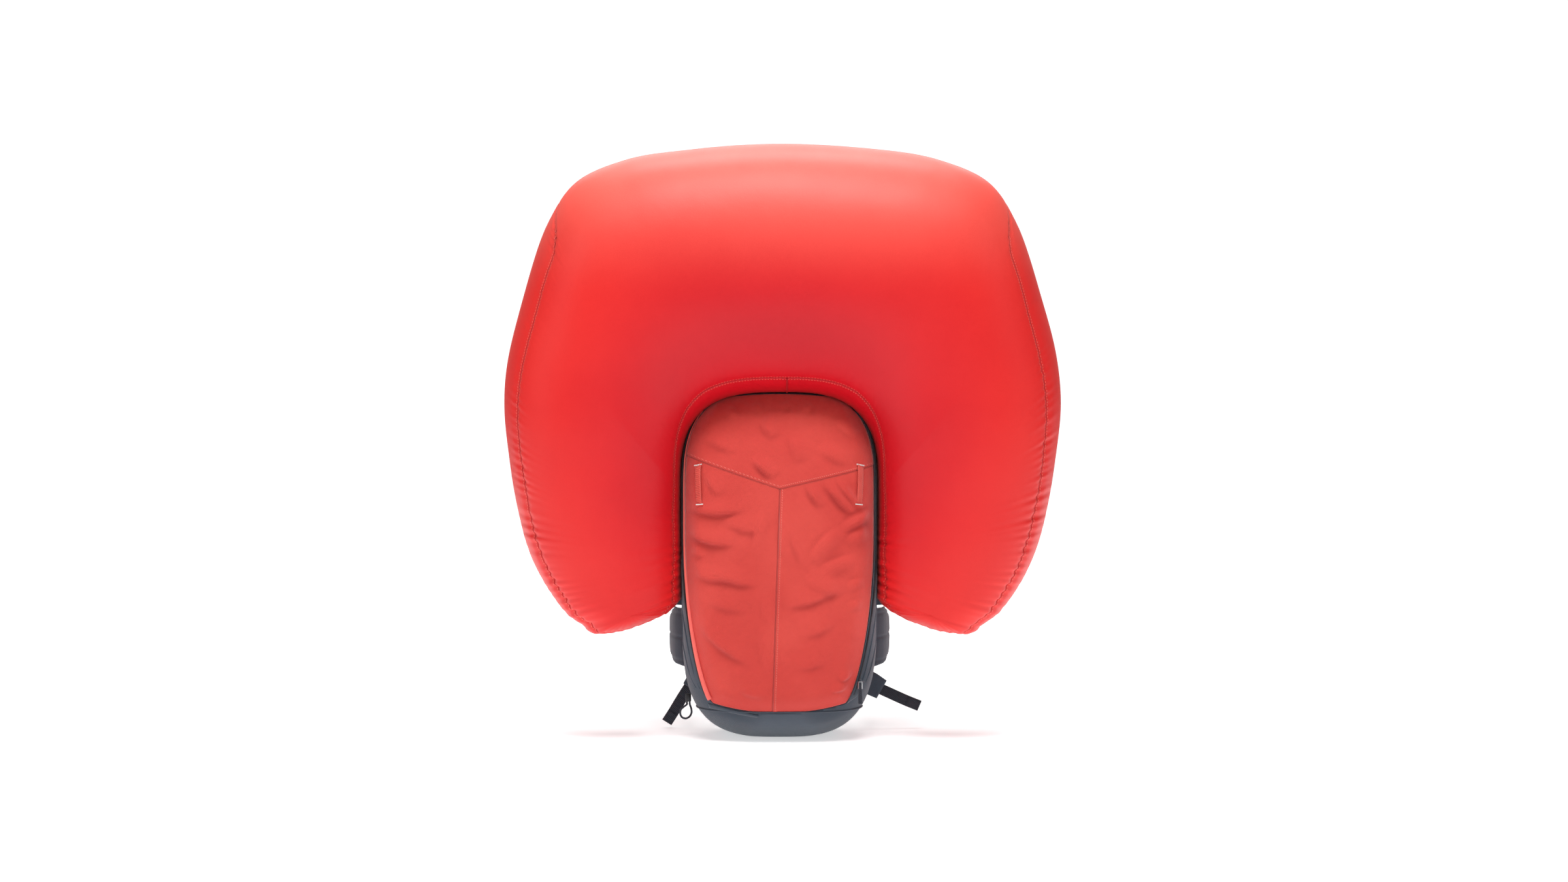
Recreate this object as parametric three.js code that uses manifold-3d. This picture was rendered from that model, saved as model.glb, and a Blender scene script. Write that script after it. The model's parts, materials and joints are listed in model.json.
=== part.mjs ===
// Avalanche airbag backpack with its airbag inflated. Millimetres, +Z up.
// +Y is the wearer's side, -Y the outer side, +X the wearer's right.
// Sub-parts are laid out with Z = 0 at the base of the pack, Y = 0 at the face of the
// back pads and X = 0 on the pack's centre line; the group then moves the origin to the lumbar pad.
import * as THREE from 'three';
import { mergeVertices } from 'three/addons/utils/BufferGeometryUtils.js';
import Module from 'manifold-3d';

const wasm = await Module();
wasm.setup();

// ---------------------------------------------------------------- driving dimensions

const GAP = 0.4; // between two pieces that touch on the real object

// Pack sack: a rounded shell of coated fabric
const PACK_HEIGHT = 556;
const PACK_WIDTH = 314;
const SACK_DEPTH = 174;
const SACK_WALL = 3;
const SHOULDER_DROP = 156; // below the top, the sides start to round in
const HIP_Z = 200; // the sides start to round in towards the base here
const FRONT_DROP = 256; // below the top, the front starts to fall back
const BASE_ROUND_Z = 130; // the front starts to round in towards the base here
const ROUND_POWER = 3;
const FRONT_POWER = 2.7; // roundness of the sack's section at the front
const BACK_POWER = 7; // and at the back
const BACK_FLATTEN = 1.02; // widens the flat middle of the back
const WIDTH_END = 0.975; // how far round its curve the side gets before the flat cap
const DEPTH_END = 0.94;
const TOP_DEPTH_MARGIN = 10; // sack left in front of the airbag's neck at the top

// Back system
const PAD_THICKNESS = 20;
const SHEET_THICKNESS = 2;
const STAY_THICKNESS = 3;
const STAY_WIDTH = 26;
const SHEET_WIDTH = PACK_WIDTH - 52;
const SHEET_BOTTOM_Z = 62;
const SHEET_TOP_DROP = 64;
const LUMBAR_WIDTH = PACK_WIDTH - 30;
const LUMBAR_HEIGHT = 104;
const LUMBAR_Z = 146; // height of the lumbar pad's centre, where the origin is
const BACK_PAD_WIDTH = 104;
const BACK_PAD_TOP_DROP = 72;
const SPINE_CHANNEL = 34; // air channel between the two back pads

// Front panel
const PANEL_WIDTH = PACK_WIDTH - 10;
const PANEL_FOOT_WIDTH = PACK_WIDTH - 106;
const PANEL_FOOT_Z = 62;
const PANEL_HEM_SAG = 14; // the hem dips this far below its corners
const PANEL_EASE_Z = 330; // full width is reached here
const PANEL_MARGIN = 5; // dark rim left between the panel and the sack's outline
const PANEL_TOP_DROP = 8;
const PANEL_GAP = 1;
const LOOP_WIDTH = 13;
const LOOP_LENGTH = 68;
const LOOP_DROP = 144; // middle of the loop below the pack's top
const LOOP_INSET = 22; // from the panel's edge

// Airbag
const BAG_WIDTH = 889;
const BAG_RISE = 397; // top of the airbag above the pack
const BAG_TIP_Z = 172;
const BAG_INNER_END_Z = 236; // inner bottom corner of each arm
const BAG_DEPTH = 296;
const BAG_TIP_DEPTH = 215;
const BAG_CENTRE_Y = -105;
const BAG_SHIFT_X = 5; // the airbag sits this far off the pack's centre line
const BAG_GAP = 9; // between the airbag and the pack
const BAG_SKIN = 1.2;
const BAG_POWER = 2.5; // roundness of its section: 2 is an ellipse
const BAG_TIP_BULGE = 28;
// Outer edge from top centre to arm tip, as shares of half the width and of the height.
const BAG_EDGE = [
  [0, 1], [0.33, 0.989], [0.56, 0.968], [0.742, 0.921], [0.838, 0.842],
  [0.925, 0.7], [1, 0.515], [0.983, 0.343], [0.908, 0.154], [0.79, 0.042], [0.716, 0.008],
];

// Airbag inlet and fan, on one vertical axis
const NECK_RADIUS = 37;
const NECK_DROP = 15; // foot of the airbag's neck below the pack's top
const NECK_HOLE_CLEARANCE = 5;
const FLANGE_WALL = 4.5;
const FLANGE_LIP = 5;
const FLANGE_HEIGHT = 22;
const BAND_WIDTH = 9;
const BAND_THICKNESS = 2;
const FLAP_THICKNESS = 1.6;
const FLAP_CLEARANCE = 1.2;
const HINGE_BAR = 5;
const DUCT_HEIGHT = 88;
const DUCT_WALL = 3;
const TIP_CLEARANCE = 1.5;
const IMPELLER_HEIGHT = 20;
const HUB_RADIUS = 16;
const BLADES = 7;
const SHAFT_RADIUS = 2.5;
const MOTOR_RADIUS = 15;
const MOTOR_HEIGHT = 36;
const GRILLE_THICKNESS = 3;
const GRILLE_SLOT = 5;

// Control unit on the sack's back wall
const BOX_WIDTH = 132;
const BOX_DEPTH = 40;
const BOX_HEIGHT = 150;
const BOX_WALL = 2.5;
const BOX_CLEARANCE = 40; // between the control box and the intake grille
const DOOR_WIDTH = 60;
const DOOR_DEPTH = 25;
const CAP_RADIUS = 15;
const CAP_HEIGHT = 62;
const CELL_RADIUS = 7.2;
const CELL_LENGTH = 50.5;
const BOARD_THICKNESS = 1.6;
const KNOB_RADIUS = 13;
const KNOB_HEIGHT = 9;
const KNOB_SHAFT = 5;
const KNOB_X = 34;
const LENS_RADIUS = 4;

// Harness
const STRAP_WIDTH = 60;
const STRAP_THICKNESS = 12;
const WEBBING = 1.8; // thickness of all webbing
const LIFTER_WIDTH = 15;
const LOWER_WIDTH = 20;
const TAIL_WIDTH = 18;
const LOCK_WIDTH = 34;
const LOCK_HEIGHT = 26;
const LOCK_THICKNESS = 5;
const LOCK_SLOT = 4.4;
const CHEST_SHARE = 0.72; // height of the chest strap along the shoulder strap
const CHEST_WIDTH = 20;
const SLIDER_WIDTH = 30;
const SLIDER_HEIGHT = 28;
const SLIDER_DEPTH = 6.6;
const SLIDER_X = 88;
const BUCKLE_DEPTH = 9;
const BUCKLE_WALL = 2;
const CHEST_BUCKLE_HEIGHT = 27;
const CHEST_BUCKLE_HALF = 17;
const FIN_THICKNESS = 13;
const FIN_ROOT_HEIGHT = 104;
const FIN_END_HEIGHT = 62;
const HIP_WEBBING_WIDTH = 38;
const HIP_BUCKLE_HEIGHT = 46;
const HAUL_WIDTH = 18;

// Trigger on the left strap
const HOUSING_LENGTH = 44;
const HANDLE_LENGTH = 70;
const HANDLE_WIDTH = 22;
const HANDLE_DEPTH = 14;
const CABLE_RADIUS = 2.2;
const STEM_RADIUS = 4.4;

// Tool loop at the foot of the pack
const CORD_RADIUS = 1.6;

// ---------------------------------------------------------------- derived places

const SHOULDER_Z = PACK_HEIGHT - SHOULDER_DROP;
const FRONT_ROUND_Z = PACK_HEIGHT - FRONT_DROP;
const SHEET_TOP_Z = PACK_HEIGHT - SHEET_TOP_DROP;
const BACK_PAD_TOP_Z = PACK_HEIGHT - BACK_PAD_TOP_DROP;
const PANEL_TOP_Z = PACK_HEIGHT - PANEL_TOP_DROP;
const LOOP_Z = PACK_HEIGHT - LOOP_DROP;
const BAG_TOP_Z = PACK_HEIGHT + BAG_RISE;
const NECK_BOTTOM_Z = PACK_HEIGHT - NECK_DROP;
const SHEET_Y = -PAD_THICKNESS - GAP; // face of the frame sheet towards the pads
const STAY_Y = SHEET_Y - SHEET_THICKNESS - GAP;
const SACK_BACK_Y = STAY_Y - STAY_THICKNESS - GAP;
const NECK_BORE = NECK_RADIUS - BAG_SKIN;
const FLANGE_RADIUS = NECK_BORE - GAP;
const FLANGE_BORE = FLANGE_RADIUS - FLANGE_WALL;
const FLANGE_BOTTOM_Z = NECK_BOTTOM_Z - GAP - FLANGE_LIP;
const DUCT_TOP_Z = FLANGE_BOTTOM_Z - GAP;
const DUCT_RADIUS = FLANGE_RADIUS + 4;
const DUCT_BORE = DUCT_RADIUS - DUCT_WALL;
const FAN_Y = SACK_BACK_Y - SACK_WALL - DUCT_RADIUS - 5;
const NECK_REACH = SACK_BACK_Y - FAN_Y + NECK_RADIUS + BAND_THICKNESS;
const TOP_DEPTH = NECK_REACH + TOP_DEPTH_MARGIN; // the sack keeps this much depth at its top
const TOP_DEPTH_END = Math.pow(1 - Math.pow(TOP_DEPTH / SACK_DEPTH, ROUND_POWER), 1 / ROUND_POWER);
const DUCT_BOTTOM_Z = DUCT_TOP_Z - DUCT_HEIGHT;
const MOTOR_BOTTOM_Z = DUCT_BOTTOM_Z + 6;
const IMPELLER_Z = MOTOR_BOTTOM_Z + MOTOR_HEIGHT + 4;
const BOX_BACK_Y = SACK_BACK_Y - SACK_WALL - GAP;
const BOX_FRONT_Y = BOX_BACK_Y - BOX_DEPTH;
const BOX_TOP_Z = DUCT_BOTTOM_Z - GRILLE_THICKNESS - GAP - BOX_CLEARANCE;
const BOX_BOTTOM_Z = BOX_TOP_Z - BOX_HEIGHT;
const BOX_MIDDLE_Y = (BOX_BACK_Y + BOX_FRONT_Y) / 2;
const BOX_MIDDLE_Z = (BOX_TOP_Z + BOX_BOTTOM_Z) / 2;
const LID_FACE_Y = BOX_FRONT_Y - GAP - BOX_WALL;
const KNOB_Z = BOX_TOP_Z - 35;

// ---------------------------------------------------------------- materials

function paint(hex, roughness = 0.8, metalness = 0) {
  return new THREE.MeshStandardMaterial({ color: hex, roughness, metalness });
}
const RED_NYLON = paint(0xe8392f, 0.5);
const CORAL_FABRIC = paint(0xe6564b, 0.85);
const SLATE_FABRIC = paint(0x39434f, 0.85);
const BLACK_MESH = paint(0x20242a, 0.95);
const NAVY_WEBBING = paint(0x232834, 0.9);
const BLACK_PLASTIC = paint(0x1b1d21, 0.45);
const GREY_PLASTIC = paint(0x555b62, 0.5);
const ALUMINIUM = paint(0xb9bdc2, 0.35, 1);
const STEEL = paint(0x8d9196, 0.35, 1);
const RED_PLASTIC = paint(0xc81f1a, 0.4);
const GREEN_BOARD = paint(0x1f6a3f, 0.6);
const BATTERY_SLEEVE = paint(0x3a3f8a, 0.4);
const CLEAR_LENS = paint(0xd8efe0, 0.1);

// ---------------------------------------------------------------- geometry helpers

const group = new THREE.Group();
const pack = new THREE.Group();
pack.position.z = -LUMBAR_Z;
group.add(pack);

function add(name, geometry, material) {
  const mesh = new THREE.Mesh(geometry, material);
  mesh.name = name;
  pack.add(mesh);
  return mesh;
}

// Fall-off of a rounded body: 1 in its middle, 0 at its end.
function fall(t, power = ROUND_POWER) {
  return Math.pow(Math.max(0, 1 - Math.pow(Math.abs(t), power)), 1 / power);
}

function signedPower(value, power) {
  return Math.sign(value) * Math.pow(Math.abs(value), power);
}

// A closed body from rings of points, each ring with the same number of points.
function loft(rings) {
  const count = rings[0].length;
  const points = rings.flat();
  const faces = [];
  for (let r = 0; r < rings.length - 1; r += 1) {
    for (let i = 0; i < count; i += 1) {
      const a = r * count + i;
      const b = r * count + ((i + 1) % count);
      faces.push(a, b, b + count, a, b + count, a + count);
    }
  }
  for (const [first, order] of [[0, 1], [(rings.length - 1) * count, -1]]) {
    const centre = new THREE.Vector3();
    for (let i = 0; i < count; i += 1) {
      centre.addScaledVector(points[first + i], 1 / count);
    }
    const hub = points.push(centre) - 1;
    for (let i = 0; i < count; i += 1) {
      const a = first + i;
      const b = first + ((i + 1) % count);
      faces.push(...(order > 0 ? [hub, b, a] : [hub, a, b]));
    }
  }
  let volume = 0;
  for (let f = 0; f < faces.length; f += 3) {
    const [a, b, c] = faces.slice(f, f + 3).map((index) => points[index]);
    volume += a.dot(new THREE.Vector3().crossVectors(b, c));
  }
  if (volume < 0) {
    faces.reverse();
  }
  const geometry = new THREE.BufferGeometry();
  geometry.setAttribute('position', new THREE.Float32BufferAttribute(
    points.flatMap((point) => point.toArray()), 3));
  geometry.setIndex(faces);
  return geometry;
}

// Strip of rectangular or rounded section along a path. Each station is
// [x, y, z, width]; side gives the direction of the width at a station.
function strip(stations, thickness, side, options = {}) {
  const { corners = 1, steps = 0 } = options;
  let rows = stations;
  if (steps > 0) {
    const curve = new THREE.CatmullRomCurve3(
      stations.map(([x, y, z]) => new THREE.Vector3(x, y, z)), false, 'centripetal');
    const widths = stations.map((row) => row[3]);
    rows = [];
    for (let i = 0; i <= steps; i += 1) {
      const u = i / steps;
      const at = curve.getPoint(u);
      const place = u * (widths.length - 1);
      const low = Math.min(Math.floor(place), widths.length - 2);
      const width = THREE.MathUtils.lerp(widths[low], widths[low + 1], place - low);
      rows.push([at.x, at.y, at.z, width]);
    }
  }
  const centres = rows.map(([x, y, z]) => new THREE.Vector3(x, y, z));
  const rings = centres.map((centre, i) => {
    const before = centres[Math.max(i - 1, 0)];
    const after = centres[Math.min(i + 1, centres.length - 1)];
    const tangent = new THREE.Vector3().subVectors(after, before).normalize();
    const across = (typeof side === 'function' ? side(i / (rows.length - 1)) : side).clone();
    across.addScaledVector(tangent, -across.dot(tangent)).normalize();
    const up = new THREE.Vector3().crossVectors(tangent, across);
    const w = rows[i][3] / 2;
    const h = thickness / 2;
    return sectionCorners(w, h, corners).map(([s, t]) => (
      centre.clone().addScaledVector(across, s).addScaledVector(up, t)));
  });
  return loft(rings);
}

// Corners of a strip's section: a rectangle, or one with its corners cut.
function sectionCorners(w, h, corners) {
  if (corners === 1) {
    return [[w, h], [-w, h], [-w, -h], [w, -h]];
  }
  const cut = h * 0.6;
  return [
    [w, h - cut], [w - cut, h], [-w + cut, h], [-w, h - cut],
    [-w, -h + cut], [-w + cut, -h], [w - cut, -h], [w, -h + cut],
  ];
}

function box(width, depth, height, x, y, z) {
  return new THREE.BoxGeometry(width, depth, height).translate(x, y, z);
}

// Box with chamfered vertical edges.
function softBox(width, depth, height, x, y, z, cut) {
  const w = width / 2;
  const d = depth / 2;
  const outline = new THREE.Shape([
    [w - cut, -d], [w, -d + cut], [w, d - cut], [w - cut, d],
    [-w + cut, d], [-w, d - cut], [-w, -d + cut], [-w + cut, -d],
  ].map(([a, b]) => new THREE.Vector2(a, b)));
  return new THREE.ExtrudeGeometry(outline, { depth: height, bevelEnabled: false })
    .translate(x, y, z - height / 2);
}

function disc(radius, height, x, y, bottomZ, sides = 32) {
  return new THREE.CylinderGeometry(radius, radius, height, sides)
    .rotateX(Math.PI / 2)
    .translate(x, y, bottomZ + height / 2);
}

// Ring or tube standing on bottomZ.
function ring(outer, inner, height, x, y, bottomZ, sides = 32) {
  const profile = [[inner, 0], [outer, 0], [outer, height], [inner, height], [inner, 0]];
  return lathe(profile, x, y, bottomZ, sides);
}

function lathe(profile, x, y, bottomZ, sides = 32) {
  return new THREE.LatheGeometry(profile.map(([r, z]) => new THREE.Vector2(r, z)), sides)
    .rotateX(Math.PI / 2)
    .translate(x, y, bottomZ);
}

function tube(points, radius, sides, steps) {
  const section = new THREE.Shape();
  for (let i = 0; i < sides; i += 1) {
    const angle = (i / sides) * 2 * Math.PI;
    const corner = [radius * Math.cos(angle), radius * Math.sin(angle)];
    if (i === 0) {
      section.moveTo(...corner);
    } else {
      section.lineTo(...corner);
    }
  }
  const path = new THREE.CatmullRomCurve3(
    points.map((point) => new THREE.Vector3(...point)), false, 'centripetal');
  return new THREE.ExtrudeGeometry(section, { steps, extrudePath: path, bevelEnabled: false });
}

// ---------------------------------------------------------------- joins and cuts

function toSolid(geometry) {
  const bare = geometry.clone();
  bare.deleteAttribute('normal');
  bare.deleteAttribute('uv');
  const merged = mergeVertices(bare, 1e-4);
  return new wasm.Manifold(new wasm.Mesh({
    numProp: 3,
    vertProperties: merged.attributes.position.array,
    triVerts: new Uint32Array(merged.index.array),
  }));
}

function toGeometry(solid) {
  const mesh = solid.getMesh();
  const geometry = new THREE.BufferGeometry();
  geometry.setAttribute('position', new THREE.Float32BufferAttribute(mesh.vertProperties, 3));
  geometry.setIndex([...mesh.triVerts]);
  return geometry;
}

function cut(geometry, ...tools) {
  return toGeometry(tools.reduce((rest, tool) => rest.subtract(toSolid(tool)), toSolid(geometry)));
}

function join(geometry, ...others) {
  return toGeometry(others.reduce((rest, other) => rest.add(toSolid(other)), toSolid(geometry)));
}

function overlap(geometry, tool) {
  return toGeometry(toSolid(geometry).intersect(toSolid(tool)));
}

// ---------------------------------------------------------------- pack outline

function sackHalfWidth(z) {
  const t = z > SHOULDER_Z
    ? (z - SHOULDER_Z) / (PACK_HEIGHT - SHOULDER_Z)
    : Math.max(0, (HIP_Z - z) / HIP_Z);
  return (PACK_WIDTH / 2) * fall(WIDTH_END * t);
}

function sackDepth(z) {
  const t = z > FRONT_ROUND_Z
    ? TOP_DEPTH_END * (z - FRONT_ROUND_Z) / (PACK_HEIGHT - FRONT_ROUND_Z)
    : DEPTH_END * Math.max(0, (BASE_ROUND_Z - z) / BASE_ROUND_Z);
  return SACK_DEPTH * fall(t);
}

// Heights of the sack's rings, closer together towards both ends.
function sackLevels() {
  const steps = 6;
  const levels = [];
  for (let i = 0; i < steps; i += 1) {
    levels.push(HIP_Z * (1 - Math.cos((i / steps) * Math.PI / 2)));
  }
  levels.push(HIP_Z, (HIP_Z + FRONT_ROUND_Z) / 2, FRONT_ROUND_Z, (FRONT_ROUND_Z + SHOULDER_Z) / 2);
  for (let i = 0; i <= steps; i += 1) {
    levels.push(SHOULDER_Z + (PACK_HEIGHT - SHOULDER_Z) * Math.sin((i / steps) * Math.PI / 2));
  }
  return levels;
}

// The sack as a solid, its skin moved inwards by inset. The back is nearly
// square in section, so that the frame sheet lies flat on it; the front is round.
function sackBody(inset) {
  const sides = 28;
  const rings = sackLevels().map((z) => {
    const halfWidth = sackHalfWidth(z) - inset;
    const depth = sackDepth(z) - 2 * inset;
    const middle = SACK_BACK_Y - inset - depth / 2;
    const height = THREE.MathUtils.lerp(inset, PACK_HEIGHT - inset, z / PACK_HEIGHT);
    const points = [];
    for (let i = 0; i < sides; i += 1) {
      const angle = (i / sides) * 2 * Math.PI;
      const back = Math.sin(angle) > 0;
      const power = 2 / (back ? BACK_POWER : FRONT_POWER);
      const across = signedPower(Math.cos(angle), power);
      const through = signedPower(Math.sin(angle), power) * (back ? BACK_FLATTEN : 1);
      points.push(new THREE.Vector3(
        halfWidth * across, middle + (depth / 2) * Math.min(through, 1), height));
    }
    return points;
  });
  return loft(rings);
}

// Half width of the front panel at a height: a narrow foot that eases out to
// the full width, and above the shoulder the sack's own outline less a rim.
function panelHalfWidth(z) {
  const t = THREE.MathUtils.clamp((z - PANEL_FOOT_Z) / (PANEL_EASE_Z - PANEL_FOOT_Z), 0, 1);
  const ease = Math.pow(Math.sin(t * Math.PI / 2), 0.6);
  const taper = THREE.MathUtils.lerp(PANEL_FOOT_WIDTH, PANEL_WIDTH, ease) / 2;
  return Math.min(taper, sackHalfWidth(z) - PANEL_MARGIN);
}

// Prism along Y over the front half of the sack with the panel's outline.
function panelPrism(inset) {
  const steps = 18;
  const right = [];
  for (let i = 0; i <= steps; i += 1) {
    const share = 0.5 - 0.5 * Math.cos((i / steps) * Math.PI);
    const height = THREE.MathUtils.lerp(PANEL_FOOT_Z, PANEL_TOP_Z, share);
    const z = THREE.MathUtils.lerp(PANEL_FOOT_Z + inset, PANEL_TOP_Z - inset, share);
    right.push([panelHalfWidth(height) - inset, z]);
  }
  const hem = [];
  const hemSteps = 8;
  const [footX] = right[0];
  for (let i = 1; i < hemSteps; i += 1) {
    const share = -1 + (2 * i) / hemSteps;
    hem.push([footX * share, PANEL_FOOT_Z + inset - PANEL_HEM_SAG * (1 - share * share)]);
  }
  const left = right.map(([x, z]) => [-x, z]).reverse();
  const outline = [...hem, ...right, ...left].map(([x, z]) => new THREE.Vector2(x, z));
  const reach = SACK_DEPTH;
  return new THREE.ExtrudeGeometry(new THREE.Shape(outline), { depth: reach, bevelEnabled: false })
    .rotateX(Math.PI / 2)
    .translate(0, SACK_BACK_Y - SACK_DEPTH * 0.42, 0);
}

function sackShell() {
  const neckHole = disc(NECK_RADIUS + NECK_HOLE_CLEARANCE, 60, 0, FAN_Y, PACK_HEIGHT - 40);
  const cableHole = disc(CABLE_RADIUS + 3.5, 30, 0, 0, -15, 16)
    .rotateX(Math.PI / 2)
    .translate(CABLE_ENTRY_X, SACK_BACK_Y, CABLE_ENTRY_Z);
  return cut(sackBody(0), sackBody(SACK_WALL), panelPrism(0), neckHole, cableHole);
}

function frontPanel() {
  return overlap(cut(sackBody(0), sackBody(SACK_WALL)), panelPrism(PANEL_GAP));
}

// Outer surface of the sack's front at a place, from its own section curve.
function sackFrontY(x, z) {
  const half = sackDepth(z) / 2;
  const share = Math.min(Math.abs(x) / sackHalfWidth(z), 1);
  return SACK_BACK_Y - half - half * fall(share, FRONT_POWER);
}

// Flat webbing loop sewn to the panel, following its surface.
function gearLoop(side) {
  const rows = [];
  const x = panelHalfWidth(LOOP_Z) - LOOP_INSET;
  const stand = 2.3; // slack between the loop's middle line and the panel
  for (let i = 0; i <= 4; i += 1) {
    const z = LOOP_Z - LOOP_LENGTH / 2 + (LOOP_LENGTH * i) / 4;
    rows.push([side * x, sackFrontY(x, z) - stand, z, LOOP_WIDTH]);
  }
  const lean = (sackFrontY(x + 5, LOOP_Z) - sackFrontY(x - 5, LOOP_Z)) / 10;
  return strip(rows, WEBBING, new THREE.Vector3(1, side * lean, 0));
}

// ---------------------------------------------------------------- back system

function frameSheet() {
  const cutCorner = 26;
  return softPlate(SHEET_WIDTH, SHEET_BOTTOM_Z, SHEET_TOP_Z, cutCorner, SHEET_THICKNESS, SHEET_Y);
}

// Upright plate with cut corners; its wearer's side lies at y.
function softPlate(width, bottom, top, corner, thickness, y, x = 0) {
  const w = width / 2;
  const outline = [
    [w - corner, bottom], [w, bottom + corner], [w, top - corner], [w - corner, top],
    [-w + corner, top], [-w, top - corner], [-w, bottom + corner], [-w + corner, bottom],
  ].map(([a, b]) => new THREE.Vector2(a, b));
  return new THREE.ExtrudeGeometry(new THREE.Shape(outline), { depth: thickness, bevelEnabled: false })
    .rotateX(Math.PI / 2)
    .translate(x, y, 0);
}

function backStay() {
  return softPlate(STAY_WIDTH, SHEET_BOTTOM_Z + 10, SHEET_TOP_Z - 10, 6, STAY_THICKNESS, STAY_Y);
}

function backPad(side) {
  const bottom = LUMBAR_Z + LUMBAR_HEIGHT / 2 + 8;
  const x = side * (SPINE_CHANNEL + BACK_PAD_WIDTH) / 2;
  return softPlate(BACK_PAD_WIDTH, bottom, BACK_PAD_TOP_Z, 22, PAD_THICKNESS, 0, x);
}

function lumbarPad() {
  const bottom = LUMBAR_Z - LUMBAR_HEIGHT / 2;
  return softPlate(LUMBAR_WIDTH, bottom, bottom + LUMBAR_HEIGHT, 16, PAD_THICKNESS, 0);
}

function haulLoop() {
  const foot = SHEET_TOP_Z + 6;
  const y = SACK_BACK_Y + GAP + HAUL_WIDTH / 2;
  const stations = [
    [-27, y, foot, HAUL_WIDTH], [-27, y, foot + 40, HAUL_WIDTH], [-17, y + 2, foot + 66, HAUL_WIDTH],
    [0, y + 3, foot + 76, HAUL_WIDTH], [17, y + 2, foot + 66, HAUL_WIDTH],
    [27, y, foot + 40, HAUL_WIDTH], [27, y, foot, HAUL_WIDTH],
  ];
  return strip(stations, WEBBING + 1, new THREE.Vector3(0, 1, 0), { steps: 18 });
}

// ---------------------------------------------------------------- airbag

const bagCurve = new THREE.CatmullRomCurve3(BAG_EDGE.map(([x, z]) => new THREE.Vector3(
  x * BAG_WIDTH / 2, 0, THREE.MathUtils.lerp(BAG_TIP_Z, BAG_TOP_Z, z))), false, 'centripetal');

// Inner edge of the airbag: over the pack's top as an arch, then down its side.
function bagInner(u) {
  const halfWidth = PACK_WIDTH / 2 + BAG_GAP;
  const rise = PACK_HEIGHT + BAG_GAP - SHOULDER_Z;
  const arch = 0.5;
  if (u <= arch) {
    const angle = (u / arch) * Math.PI / 2;
    const power = 2 / ROUND_POWER;
    return new THREE.Vector3(
      halfWidth * Math.pow(Math.sin(angle), power), 0,
      SHOULDER_Z + rise * Math.pow(Math.cos(angle), power));
  }
  return new THREE.Vector3(
    halfWidth, 0, THREE.MathUtils.lerp(SHOULDER_Z, BAG_INNER_END_Z, (u - arch) / (1 - arch)));
}

// One section of the airbag at u, from 0 at the top centre to 1 at the end of
// an arm; tip runs from 0 to 1 round the arm's closed end.
function bagRing(u, side, tip, skin) {
  const outer = bagCurve.getPoint(u);
  const inner = bagInner(u);
  const centre = new THREE.Vector3().addVectors(outer, inner).multiplyScalar(0.5);
  const reach = new THREE.Vector3().subVectors(outer, inner).multiplyScalar(0.5);
  const closing = fall(tip, BAG_POWER);
  const half = reach.length() * closing - skin;
  const across = reach.clone().normalize();
  const down = new THREE.Vector3(across.z, 0, -across.x);
  centre.addScaledVector(down, (BAG_TIP_BULGE - skin) * tip);
  const halfDepth = (THREE.MathUtils.lerp(BAG_DEPTH, BAG_TIP_DEPTH, u ** 3) / 2) * closing - skin;
  const sides = 20;
  const points = [];
  for (let i = 0; i < sides; i += 1) {
    const angle = (i / sides) * 2 * Math.PI;
    const point = centre.clone()
      .addScaledVector(across, half * signedPower(Math.cos(angle), 2 / BAG_POWER));
    point.y = BAG_CENTRE_Y + halfDepth * signedPower(Math.sin(angle), 2 / BAG_POWER);
    point.x *= side;
    points.push(point);
  }
  return points;
}

function bagBody(skin) {
  const steps = 14;
  const tips = [0.5, 0.78, 0.93];
  const half = (side) => {
    const rings = [];
    for (let i = 1; i <= steps; i += 1) {
      rings.push(bagRing(i / steps, side, 0, skin));
    }
    tips.forEach((tip) => rings.push(bagRing(1, side, tip, skin)));
    return rings;
  };
  return loft([...half(-1).reverse(), bagRing(0, 1, 0, skin), ...half(1)])
    .translate(BAG_SHIFT_X, 0, 0);
}

function airbagSkin() {
  const neckHeight = 80;
  const neck = disc(NECK_RADIUS, neckHeight, 0, FAN_Y, NECK_BOTTOM_Z);
  const bore = disc(NECK_BORE, neckHeight + 10, 0, FAN_Y, NECK_BOTTOM_Z - 5);
  return cut(join(bagBody(0), neck), join(bagBody(BAG_SKIN), bore));
}

// ---------------------------------------------------------------- inlet and fan

function inletFlange() {
  const bore = FLANGE_BORE;
  const lipTop = FLANGE_LIP;
  const body = lathe([
    [bore, 0], [DUCT_RADIUS, 0], [DUCT_RADIUS, lipTop], [FLANGE_RADIUS, lipTop],
    [FLANGE_RADIUS, FLANGE_HEIGHT], [bore, FLANGE_HEIGHT], [bore, 0],
  ], 0, FAN_Y, FLANGE_BOTTOM_Z);
  // Bar across the bore that carries the two flaps.
  const bar = box(HINGE_BAR, 2 * bore + FLANGE_WALL, 4, 0, FAN_Y, FLANGE_BOTTOM_Z + 2);
  return join(body, bar);
}

function clampBand() {
  const inner = NECK_RADIUS + GAP;
  return ring(inner + BAND_THICKNESS, inner, BAND_WIDTH, 0, FAN_Y, NECK_BOTTOM_Z + 3);
}

const FLAP_HINGE_X = 1.8; // each flap's hinge line beside the middle of the bar

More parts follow.
